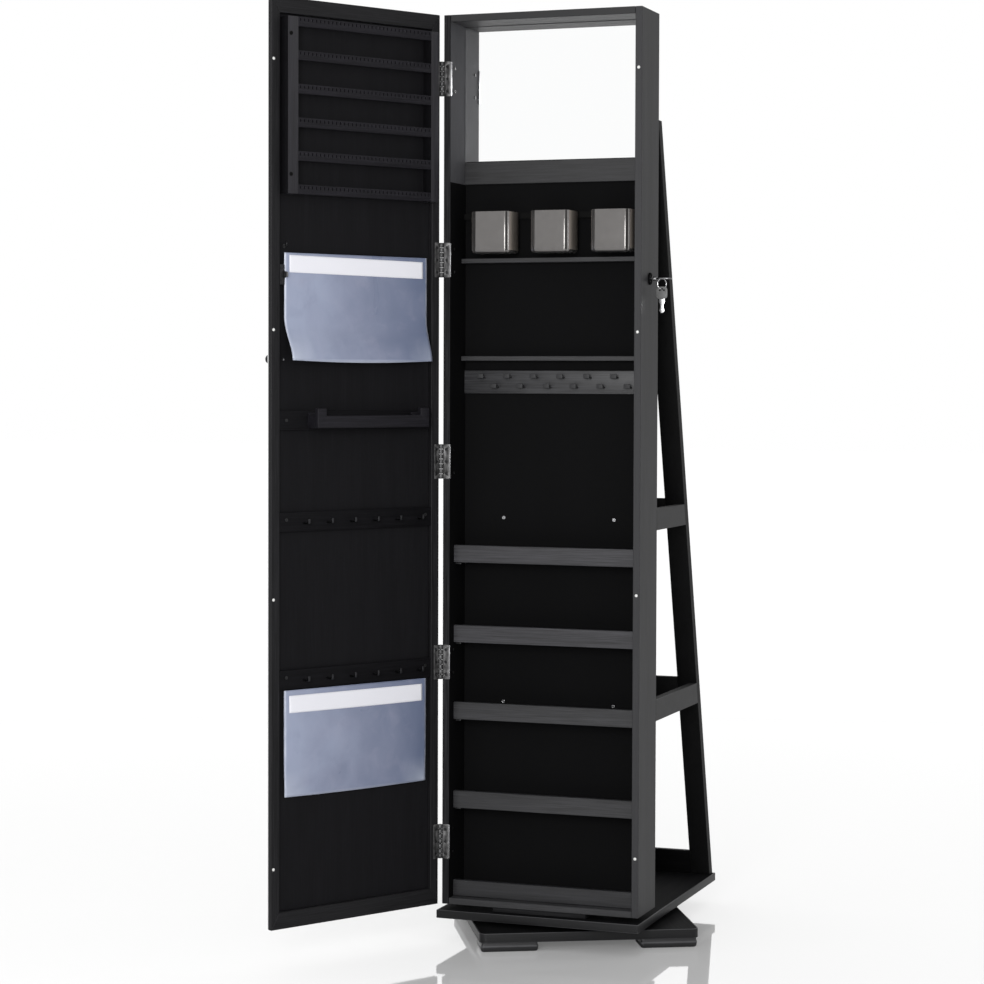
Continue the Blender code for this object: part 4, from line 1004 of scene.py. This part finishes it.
def film_grid(low, high, form, lift, u_range=(0.0, 1.0), v_range=(0.0, 1.0), slope=0.0, rows=POUCH_ROWS):
    """A sheet on the pouch's form, lift off its front film; X across, Z down from the top."""
    points, faces = [], []
    for row in range(rows + 1):
        for column in range(POUCH_COLUMNS + 1):
            u = u_range[0] + (u_range[1] - u_range[0]) * column / POUCH_COLUMNS
            v = v_range[0] + (v_range[1] - v_range[0]) * row / rows + slope * (1 - u)
            sag = form["sag"] * (math.sin(math.pi * u) - 1.0) * v * v
            stand = max(LEAST_STAND, pouch_stand(form, u, v) + lift)
            draw = form["draw"] * (1 - 2 * u) * smooth_step(form["curl_from"], 1.0, v)
            points.append((low.x + u * (high.x - low.x) + draw, low.y + stand,
                           high.z - v * (high.z - low.z) - sag - form["sag"] * v * v))
    across = POUCH_COLUMNS + 1
    for row in range(rows):
        for column in range(POUCH_COLUMNS):
            first = row * across + column
            faces.append((first, first + 1, first + across + 1, first + across))
    mesh = bpy.data.meshes.new("film")
    mesh.from_pydata(points, [], faces)
    return mesh


def sheet_piece(name, mesh, material, node):
    """A film or tape on the door, thickened to a sheet."""
    sheet = piece(name, mesh, DOOR, "door", material, node)
    solid = sheet.modifiers.new("thickness", "SOLIDIFY")
    solid.thickness = POUCH_SHEET
    solid.offset = 0.0
    return sheet


def build_pouches():
    for number, form in POUCH_FORMS.items():
        node = f"pouch_{number}"
        low, high = span(node, DOOR)
        flat = (high.x - low.x, high.z - low.z)
        sheets = film(f"frosted_pouch_film_{number}", low, high)
        front = sheet_piece(f"{node}_front", film_grid(low, high, form, 0.0), sheets, node)
        back = sheet_piece(f"{node}_back", film_grid(low, high, form, -POUCH_GAP), sheets, node)
        sides = (BAND_SIDE_SHARE, 1 - BAND_SIDE_SHARE)
        rows = (form["band_top"], form["band_top"] + BAND_HEIGHT_SHARE)
        strip = film_grid(low, high, form, BAND_LIFT, sides, rows, form["band_slope"], BAND_ROWS)
        band = sheet_piece(f"{node}_band", strip, TAPE, node)
        posts = []
        v = sum(rows) / 2
        for u in (2 * BAND_SIDE_SHARE, 1 - 2 * BAND_SIDE_SHARE):
            length = pouch_stand(form, u, v) - POUCH_GAP - POUCH_SHEET / 2
            waist = (POST_WAIST[0] * POST_RADIUS, POST_WAIST[1] * length)
            profile = [(0.0, 0.0), (POST_RADIUS, 0.0), waist, (POST_RADIUS, length), (0.0, length)]
            place = (low.x + u * flat[0], low.y, high.z - v * flat[1])
            posts.append(turned(profile, place, "back", steps=20))
        pins = piece(f"{node}_posts", merged(*posts), DOOR, "door", DULL)


# Bracelet holder

BRACELET_RAIL_TOP = 0.032
BRACELET_BAR_DEPTH = 0.010
BRACELET_BAR_HEIGHT = 0.0205
BRACELET_BAR_CORNER = 0.0018
BRACELET_BAR_EDGE = 0.0010
BRACELET_START = 0.0455
BRACELET_END = 0.2803
BRACELET_ARM = 0.018
BRACELET_RISE = 0.0029
ARM_SHORT = 0.002
ARM_FILLET = 0.006
ARM_CORNER = 0.002
ARM_INSET = 0.0004
ARM_EDGE = 0.0006


def build_bracelet_holder():
    node = "bracelet_holder"
    low, high = span(node, DOOR)
    face = low.y + DOOR_RAIL_THICKNESS
    rail_top = low.z + BRACELET_RAIL_TOP
    board = slab(low, (high.x, face, rail_top), BOARD_EDGE)
    piece("bracelet_board", board, DOOR, "door", WOOD_FITTING, node)
    bar_low = low.z + BRACELET_RISE
    bar_top = bar_low + BRACELET_BAR_HEIGHT
    inner_left, inner_right = BRACELET_START + BRACELET_ARM, BRACELET_END - BRACELET_ARM
    outline = [(BRACELET_START, bar_low), (BRACELET_END, bar_low), (BRACELET_END, high.z),
               (inner_right, high.z), (inner_right, bar_top), (inner_left, bar_top), (inner_left, high.z),
               (BRACELET_START, high.z)]
    meshes = [plate([rounded(outline, BRACELET_BAR_CORNER)], "Y", high.y - BRACELET_BAR_DEPTH, high.y,
                    BRACELET_BAR_EDGE, edge_steps=2)]
    reach = high.y - ARM_SHORT
    arm = [(face, bar_low), (reach, bar_low), (reach, bar_top), (face + ARM_FILLET, bar_top),
           (face, bar_top + ARM_FILLET)]
    for left in (BRACELET_START, inner_right):
        meshes.append(plate([rounded(arm, ARM_CORNER, steps=3)], "X", left + ARM_INSET,
                            left + BRACELET_ARM - ARM_INSET, ARM_EDGE))
    piece("bracelet_bar", merged(*meshes), DOOR, "door", WOOD_RACK, node)
    rail_screws("bracelet_board_screws", low, Vector((high.x, high.y, rail_top)), face)


# Cups

CUP_WALL = 0.0018
CUP_BASE_CURVE = 0.005
# Steps across and back along a front corner: facet, flute, facet, then a long turn into the side; the right
# flute is coloured dark as a painted reflection
CUP_FLUTE = ((0.0018, 0.0005), (0.0030, 0.0026), (0.0024, 0.0007), (0.0008, 0.0007), (0.0007, 0.0011),
             (0.0006, 0.0015), (0.0005, 0.0020), (0.0004, 0.0028), (0.0002, 0.0034))
FLUTE_SOFT_SHARE = 0.10
FLUTE_NORMAL = (0.45, 0.72)
FLUTE_AREA = 8e-5
SIDE_NORMAL = 0.80
UPRIGHT_NORMAL = 0.1
FACE_HOLD = 0.0008
# The photo's cups stand further right than the CAD's and are wider on each side
CUP_SHIFT = 0.0048
CUP_WIDER = 0.0030
CUP_HEIGHT = 0.072
CUP_DEPTH = 0.055
HANGER_WIDTH = 0.024
HANGER_SHEET = 0.0012
HANGER_CORNER = 0.0004
HANGER_DROP_FRONT = 0.014
HANGER_DROP_BACK = 0.013


def cup_outline(width, depth):
    """A square with a flute down each corner, anticlockwise from the front right corner."""
    corner = [Vector((-FACE_HOLD, 0.0))]
    place = Vector((0.0, 0.0))
    for across, back in CUP_FLUTE:
        step = Vector((across, back))
        corner.append(place + FLUTE_SOFT_SHARE * step)
        corner.append(place + (1 - FLUTE_SOFT_SHARE) * step)
        place = place + step
    corner.append(place + Vector((0.0, FACE_HOLD)))
    right = [Vector((width / 2 - place.x + point.x, -depth / 2 + point.y)) for point in corner]
    back_right = [Vector((point.x, -point.y)) for point in reversed(right)]
    half = right + back_right
    return half + [Vector((-point.x, point.y)) for point in reversed(half)]


def cup_mesh(low, high):
    """A cup with a rounded foot and a rolled rim, from its outer foot over the rim to its floor."""
    centre_x = (low.x + high.x) / 2 + CUP_SHIFT
    centre_y = low.y + CUP_DEPTH / 2
    width = high.x - low.x + 2 * CUP_WIDER
    curve, roll = CUP_BASE_CURVE, CUP_WALL / 2
    rim, floor = low.z + CUP_HEIGHT - roll, low.z + CUP_WALL
    quarter = arc(math.pi / 2, steps=5)
    skin = [(curve * (1 - sine), low.z + curve * (1 - cosine)) for cosine, sine in quarter]
    skin += [(roll * (1 - cosine), rim + roll * sine) for cosine, sine in arc(math.pi, steps=6)]
    skin += [(CUP_WALL + curve * (1 - cosine), floor + curve * (1 - sine)) for cosine, sine in quarter]
    outline = cup_outline(width, CUP_DEPTH)
    rings = []
    for inset, z in skin:
        narrow, shallow = 1 - 2 * inset / width, 1 - 2 * inset / CUP_DEPTH
        rings.append([(centre_x + narrow * x, centre_y + shallow * y, z) for x, y in outline])
    return loft(rings)


def upright(face):
    return abs(face.normal.z) <= UPRIGHT_NORMAL


def on_right_flute(face):
    turned_right = FLUTE_NORMAL[0] < face.normal.x < FLUTE_NORMAL[1]
    return upright(face) and turned_right and face.area > FLUTE_AREA


def on_side(face):
    return upright(face) and abs(face.normal.x) > SIDE_NORMAL


def build_cups():
    for number in range(1, 4):
        node = f"cup_{number}"
        low, high = span(node, CASE)
        cup_top = low.z + CUP_HEIGHT
        back = low.y + CUP_DEPTH
        inside, outside, inner = back - CUP_WALL, back + HAIR, high.y - HANGER_SHEET
        front_end, back_end = high.z - HANGER_DROP_FRONT, high.z - HANGER_DROP_BACK
        bend = [(inside, front_end), (outside, front_end), (outside, cup_top), (inner, cup_top),
                (inner, back_end), (high.y, back_end), (high.y, high.z), (inside, high.z)]
        sides = about((low.x + high.x) / 2, HANGER_WIDTH / 2)
        hanger = plate([rounded(bend, HANGER_CORNER, steps=2)], "X", *sides, HAIR)
        shell = piece(f"{node}_shell", cup_mesh(low, high), CASE, node, CUP_METAL, node)
        # The right flutes are coloured dark: a painted dark reflection
        refinish(shell, CUP_FLUTE_PAINTED_REFLECTION, on_right_flute)
        refinish(shell, CUP_SIDE_PAINTED_LIGHT, on_side)
        piece(f"{node}_hanger", hanger, CASE, node, CUP_METAL, node)


# Lock and keys

LOCK_BODY_RADIUS = 0.0080
LOCK_BORE = 0.0053
LOCK_FLANGE_RADIUS = 0.0105
LOCK_FLANGE = 0.002
LOCK_RIM = 0.0007
PLUG_RADIUS = 0.0050
PLUG_PROUD = 0.0003
COLLAR = ((0.0, -0.001), (0.0046, -0.001), (0.0046, 0.0030), (0.0040, 0.0036), (0.0040, 0.0085),
          (0.0031, 0.0105), (0.0, 0.0105))
CAM_THICKNESS = 0.003
CAM_LENGTH = 0.026
CAM_HALF = 0.005
CAM_CORNER = 0.004
KEY_HALF = 0.0012
KEY_SHANK_HALF = 0.003
KEY_SHANK_LAP = 0.001
KEY_BOW = (0.026, 0.017)
KEY_BOW_CORNER = 0.007
KEY_BOW_NEAR = 0.0090
KEY_HOLE = (0.0120, 0.0146)
KEY_HOLE_CORNER = 0.0020
RING_RADIUS = 0.009
RING_WIRE = 0.00055
RING_COIL = 0.0005
RING_TURN = math.radians(-40.0)
RING_TURNS = 2
RING_STEPS = 36
SPARE_HEAD = (0.0195, 0.021)
SPARE_HEAD_CORNER = 0.006
HEAD_ARCH = (0.0060, 0.0030)
HEAD_ARCH_DROP = 0.0042
HEAD_ARCH_ANGLES = range(20, 161, 14)
# Half widths of the spare key's blade and their heights above the head's lower edge
SPARE_BLADE = ((0.0053, 0.001), (0.0053, -0.005), (0.0028, -0.0105), (0.0028, -0.0145), (0.0044, -0.0180),
               (0.0044, -0.0205), (0.0024, -0.0235))
BLADE_CORNER = 0.002
BLADE_EDGE = 0.0003


def build_lock():
    pivot = case_joint("lock_turn")
    low, high = span("lock_housing", CASE)
    flange, rim = high.x - LOCK_FLANGE, LOCK_RIM
    profile = [(LOCK_BORE, low.x), (LOCK_BODY_RADIUS - rim, low.x), (LOCK_BODY_RADIUS, low.x + rim),
               (LOCK_BODY_RADIUS, flange), (LOCK_FLANGE_RADIUS, flange), (LOCK_FLANGE_RADIUS, high.x - rim),
               (LOCK_FLANGE_RADIUS - rim, high.x), (LOCK_BORE + rim, high.x), (LOCK_BORE, high.x - rim)]
    rings = [[(x, y, along - pivot.x) for x, y in circle(radius, steps=32)] for radius, along in profile]
    housing = moved(loft(rings, closed=True), Matrix.Translation(pivot) @ FACING["right"])
    piece("lock_body", housing, CASE, "cabinet", LOCK_BLACK, "lock_housing")

    node = "lock_plug_and_key"
    inner = span(node, CASE)[0].x
    plug_out = high.x + PLUG_PROUD
    start, end = inner - pivot.x, plug_out - pivot.x
    plug = turned([(0.0, start), (PLUG_RADIUS, start), (PLUG_RADIUS, end - rim), (PLUG_RADIUS - rim, end),
                   (0.0, end)], pivot, "right", steps=32)
    lever = rectangle((pivot.y - CAM_HALF, pivot.z - CAM_HALF), (pivot.y + CAM_HALF, pivot.z + CAM_LENGTH))
    cam = plate([rounded(lever, CAM_CORNER, steps=5)], "X", inner, inner + CAM_THICKNESS, METAL_EDGE)
    piece("lock_plug", merged(plug, cam), CASE, "lock_plug", DULL, node)
    collar = turned(COLLAR, (plug_out, pivot.y, pivot.z), "right", steps=28)
    piece("lock_collar", collar, CASE, "lock_plug", COLLAR_METAL, node)

    ring = case_joint("ring_swing")
    bow_x = ring.x - KEY_BOW_NEAR
    shank = slab((plug_out - KEY_SHANK_LAP, pivot.y - KEY_SHANK_HALF, pivot.z - KEY_HALF),
                 (bow_x + KEY_SHANK_LAP, pivot.y + KEY_SHANK_HALF, pivot.z + KEY_HALF), METAL_EDGE)
    outline = rounded_square(*KEY_BOW, KEY_BOW_CORNER, (bow_x + KEY_BOW[0] / 2, pivot.y))
    hole = rounded_square(*KEY_HOLE, KEY_HOLE_CORNER, (ring.x, pivot.y))
    bow = plate([outline, hole], "Z", *about(pivot.z, KEY_HALF), METAL_EDGE, edge_steps=2)
    piece("lock_key_shank", shank, CASE, "lock_plug", TIP_METAL, node)
    piece("lock_key_bow", bow, CASE, "lock_plug", GUNMETAL, node)


def build_ring():
    count = RING_TURNS * RING_STEPS
    rounds = circle(RING_RADIUS, RING_STEPS) * RING_TURNS
    path = [(x, y, RING_COIL * (2 * i / count - 1)) for i, (x, y) in enumerate(rounds)]
    centre = case_joint("ring_swing") - Vector((0.0, 0.0, RING_RADIUS))
    place = Matrix.Translation(centre) @ Matrix.Rotation(RING_TURN, 4, "Z") @ FACING["right"]
    coil = moved(sweep(path, RING_WIRE, sides=8), place)
    piece("key_ring_coil", coil, CASE, "key_ring", BRIGHT, "key_ring")


def build_spare_key():
    pivot = case_joint("spare_key_swing")
    top = span("spare_key", CASE)[1].z
    head_low = top - SPARE_HEAD[1]
    outline = rounded_square(*SPARE_HEAD, SPARE_HEAD_CORNER, (pivot.x, top - SPARE_HEAD[1] / 2))
    hole = []
    for radius, angles in zip(HEAD_ARCH, (HEAD_ARCH_ANGLES, reversed(HEAD_ARCH_ANGLES))):
        hole += [(pivot.x + radius * math.cos(math.radians(angle)),
                  pivot.z - HEAD_ARCH_DROP + radius * math.sin(math.radians(angle))) for angle in angles]
    head = plate([outline, hole], "Y", *about(pivot.y, KEY_HALF), METAL_EDGE, edge_steps=2)
    piece("spare_key_head", head, CASE, "spare_key", KEY_GREY, "spare_key")
    right = [(pivot.x + half, head_low + z) for half, z in SPARE_BLADE]
    left = [(pivot.x - half, head_low + z) for half, z in reversed(SPARE_BLADE)]
    outline = rounded(right + left, BLADE_CORNER, steps=3)
    blade = plate([outline], "Y", *about(pivot.y, KEY_HALF / 2), BLADE_EDGE)
    piece("spare_key_blade", blade, CASE, "spare_key", BRIGHT, "spare_key")


# Door and case furniture

KNOB = ((0.0, 0.0), (0.0062, 0.0), (0.0062, 0.0008), (0.0048, 0.0018), (0.0042, 0.0040), (0.0042, 0.0076),
        (0.0052, 0.0102), (0.0070, 0.0124), (0.0078, 0.0144), (0.0078, 0.0164), (0.0071, 0.0181),
        (0.0054, 0.0192), (0.0, 0.0195))
KNOB_CAP = ((0.0, 0.0), (0.0024, 0.0), (0.0024, 0.0010), (0.0018, 0.0018), (0.0, 0.0021))
KNOB_CAP_X = 0.325
MAGNET_CAP = ((0.0, 0.0), (0.0025, 0.0), (0.0025, 0.0006), (0.0019, 0.0010), (0.0, 0.0010))
MAGNET_LEVELS = (1.498, 1.055, 0.611, 0.165)
MAGNET_X = 0.349
PEG_X = 0.3235
PEG_LEVEL = 1.193
PEG_OUT = 0.005
PEG_BEND = 0.0034
PEG_WIRE = 0.0009
PEG_SEAT = ((0.0, 0.0), (0.0034, 0.0), (0.0030, 0.0008), (0.0, 0.0010))
STRIKE_FOOT = 0.0065
STRIKE_TAB = 0.003
STRIKE_TAB_ROOT = 0.006
STRIKE_TAB_END = 0.0042
STRIKE_TAB_LAP = 0.001
STRIKE_TAB_CORNER = 0.002
STRIKE_SCREW = {"radius": 0.0022, "height": 0.001}
STRIKE_SCREW_INSET = 0.006
BACK_SCREWS_X = (0.085, 0.286)
BACK_SCREWS_Z = (0.7335, 0.4115)
BACK_SCREW_RADIUS = 0.0030
SHELF_PIN = ((0.0, 0.0), (0.0024, 0.0), (0.0024, 0.008), (0.0016, 0.009), (0.0, 0.009))
PIN_BELOW = 0.0025
PIN_GAP = 0.0003
PIN_Y_SHARES = (0.25, 0.8)


def turned_row(name, profile, places, facing, space, body, material):
    meshes = [turned(profile, place, facing) for place in places]
    piece(name, merged(*meshes), space, body, material)


def build_knob_and_magnets():
    low, high = span("door_knob", DOOR)
    level = (low.z + high.z) / 2
    knob = turned(KNOB, ((low.x + high.x) / 2, high.y, level), "front", steps=32)
    piece("door_pull_knob", knob, DOOR, "door", BLACK_METAL, "door_knob")
    stile = span("door_stile_free", DOOR)[1].y
    for owner, space, y, facing in (("door", DOOR, stile, "back"), ("cabinet", CASE, 0.0, "front")):
        places = [(MAGNET_X, y, z) for z in MAGNET_LEVELS]
        turned_row(f"{owner}_magnets", MAGNET_CAP, places, facing, space, owner, MAGNET)
    board = span("door_board", DOOR)[1].y
    turned_row("knob_screw_cap", KNOB_CAP, [(KNOB_CAP_X, board, level)], "back", DOOR, "door", TIP_METAL)


def build_peg_hook():
    board = span("door_board", DOOR)[1].y
    seat = (PEG_X, board, PEG_LEVEL)
    path = [seat]
    for cosine, sine in arc(math.pi, steps=12):
        path.append((PEG_X, board + PEG_OUT + PEG_BEND * sine, PEG_LEVEL + PEG_BEND * (1 - cosine)))
    peg = merged(sweep(path, PEG_WIRE, sides=10), turned(PEG_SEAT, seat, "back", steps=20))
    piece("door_peg_hook", peg, DOOR, "door", DULL)


def build_strike():
    low, high = span("lock_strike", DOOR)
    face = low.y + STRIKE_FOOT
    level = (low.z + high.z) / 2
    foot = slab(low, (high.x, face, high.z), FRAME_EDGE)
    root = face - STRIKE_TAB_LAP
    outline = [(root, level - STRIKE_TAB_ROOT), (high.y, level - STRIKE_TAB_END),
               (high.y, level + STRIKE_TAB_END), (root, level + STRIKE_TAB_ROOT)]
    tab = plate([rounded(outline, STRIKE_TAB_CORNER)], "X", low.x, low.x + STRIKE_TAB, METAL_EDGE)
    piece("strike_plate", foot, DOOR, "door", BLACK_METAL, "lock_strike")
    piece("strike_tab", tab, DOOR, "door", GUNMETAL, "lock_strike")
    x = (low.x + STRIKE_TAB + high.x) / 2
    places = [(x, face, z) for z in (low.z + STRIKE_SCREW_INSET, high.z - STRIKE_SCREW_INSET)]
    screws("strike_screws", places, "back", DOOR, "door", DULL, **STRIKE_SCREW)


def build_case_furniture():
    face = span("back_panel", CASE)[0].y
    places = [(x, face, z) for z in BACK_SCREWS_Z for x in BACK_SCREWS_X]
    screws("back_panel_screws", places, "front", CASE, "cabinet", TIP_METAL, BACK_SCREW_RADIUS)
    pins = []
    for number in range(1, 5):
        low, high = span(f"shelf_{number}", CASE)
        for share in PIN_Y_SHARES:
            for x, facing in ((low.x - PIN_GAP, "right"), (high.x + PIN_GAP, "left")):
                place = (x, between(low.y, high.y, share), low.z - PIN_BELOW)
                pins.append(turned(SHELF_PIN, place, facing, steps=16))
    piece("shelf_pins", merged(*pins), CASE, "cabinet", GUNMETAL)


build_feet()
build_edged_board("plate", "turntable_plate", CASE, "cabinet", PLATE_CORNER, WOOD_PLATE_SHADED, WOOD_BAND)
build_edged_board("base", "base_board", BASE, "base", BASE_CORNER, WOOD_BASE, WOOD_BASE_BAND)
build_hinges()
build_necklace_strip()
build_door_hook_rails()
build_rack()
build_pouches()
build_bracelet_holder()
build_cups()
build_lock()
build_ring()
build_spare_key()
build_knob_and_magnets()
build_peg_hook()
build_strike()
build_case_furniture()

# Studio

CAMERA_PLACE = Vector((1.60315, -4.17841, 0.9766))
CAMERA_AZIMUTH = math.radians(20.11)
CAMERA_PITCH = math.radians(1.79)
CAMERA_ROLL = math.radians(0.17)
CAMERA_LENS = 94.77
CAMERA_SENSOR = 36.0
CAMERA_SHIFT = (0.00925, -0.0334)
CAMERA_REACH = 100.0
WHITE = (1.0, 1.0, 1.0, 1.0)
FLOOR_COLOUR = (0.92, 0.92, 0.92)
FLOOR_GLOW = 0.19
FLOOR_HALF = 30.0
AMBIENT = 0.60
BACK_RIGHT_DIM = 0.55
DIM_FROM_BACK = (0.45, 0.85)
DIM_FROM_RIGHT = (0.0, 0.30)


def build_camera():
    camera = bpy.data.cameras.new("photo_camera")
    camera.lens = CAMERA_LENS
    camera.sensor_width = CAMERA_SENSOR
    camera.shift_x, camera.shift_y = CAMERA_SHIFT
    camera.clip_end = CAMERA_REACH
    turn = (Matrix.Rotation(CAMERA_AZIMUTH, 4, "Z") @ Matrix.Rotation(math.pi / 2 - CAMERA_PITCH, 4, "X")
            @ Matrix.Rotation(CAMERA_ROLL, 4, "Z"))
    place = Matrix.Translation(CASE @ CAMERA_PLACE) @ turn
    bpy.context.scene.camera = new_object("photo_camera", camera, place)


def build_floor():
    look = Look("studio_floor", FLOOR_COLOUR, 0.05,
                {"Coat Weight": 1.0, "Coat Roughness": 0.03, "Emission Color": WHITE})
    look.feed("Roughness", look.span(look.cloud((2.0, 2.0, 2.0)), 0.04, 0.06))
    ray = look.node("ShaderNodeLightPath").outputs["Is Camera Ray"]
    look.feed("Emission Strength", look.math("MULTIPLY", ray, FLOOR_GLOW))
    mesh = bpy.data.meshes.new("studio_floor")
    corners = rectangle((-FLOOR_HALF, -FLOOR_HALF), (FLOOR_HALF, FLOOR_HALF))
    mesh.from_pydata([(x, y, 0.0) for x, y in corners], [], [(0, 1, 2, 3)])
    mesh.materials.append(look.material)
    new_object("studio_floor", mesh)


def build_world():
    """A white studio: white to the camera and in reflections, softer as light, dim at the back right."""
    world = bpy.data.worlds.new("studio")
    bpy.context.scene.world = world
    world.use_nodes = True
    tree = world.node_tree
    tree.nodes.clear()

    def linked(kind, settings, *inputs):
        return add_node(tree, kind, settings, enumerate(inputs)).outputs[0]

    def ranged(source, start, end, low, high):
        settings = {"interpolation_type": "SMOOTHSTEP"}
        return linked("ShaderNodeMapRange", settings, source, start, end, low, high)

    direction = tree.nodes.new("ShaderNodeTexCoord").outputs["Generated"]
    split = add_node(tree, "ShaderNodeSeparateXYZ", inputs={"Vector": direction}).outputs
    to_back = ranged(split["Y"], *DIM_FROM_BACK, 0.0, 1.0)
    to_right = ranged(split["X"], *DIM_FROM_RIGHT, 0.0, BACK_RIGHT_DIM)
    dimmed = linked("ShaderNodeMath", {"operation": "MULTIPLY"}, to_back, to_right)
    studio = linked("ShaderNodeMath", {"operation": "SUBTRACT"}, 1.0, dimmed)
    rays = tree.nodes.new("ShaderNodeLightPath").outputs
    softened = ranged(rays["Is Diffuse Ray"], 0.0, 1.0, 1.0, AMBIENT)
    lit = linked("ShaderNodeMath", {"operation": "MULTIPLY"}, studio, softened)
    strength = linked("ShaderNodeMath", {"operation": "MAXIMUM"}, lit, rays["Is Camera Ray"])
    shine = linked("ShaderNodeBackground", {}, WHITE, strength)
    add_node(tree, "ShaderNodeOutputWorld", inputs={"Surface": shine})


def lamp(name, place, target, size, power):
    light = bpy.data.lights.new(name, "AREA")
    light.shape = "SQUARE"
    light.size = size
    light.energy = power
    aim = (Vector(target) - Vector(place)).to_track_quat("-Z", "Y")
    new_object(name, light, Matrix.Translation(place) @ aim.to_matrix().to_4x4())


build_camera()
build_floor()
build_world()
lamp("key_soft_box", place=(0.75, -3.9, 1.35), target=(0.0, 0.0, 0.85), size=1.3, power=70.0)

scene = bpy.context.scene
scene.view_settings.view_transform = "Standard"
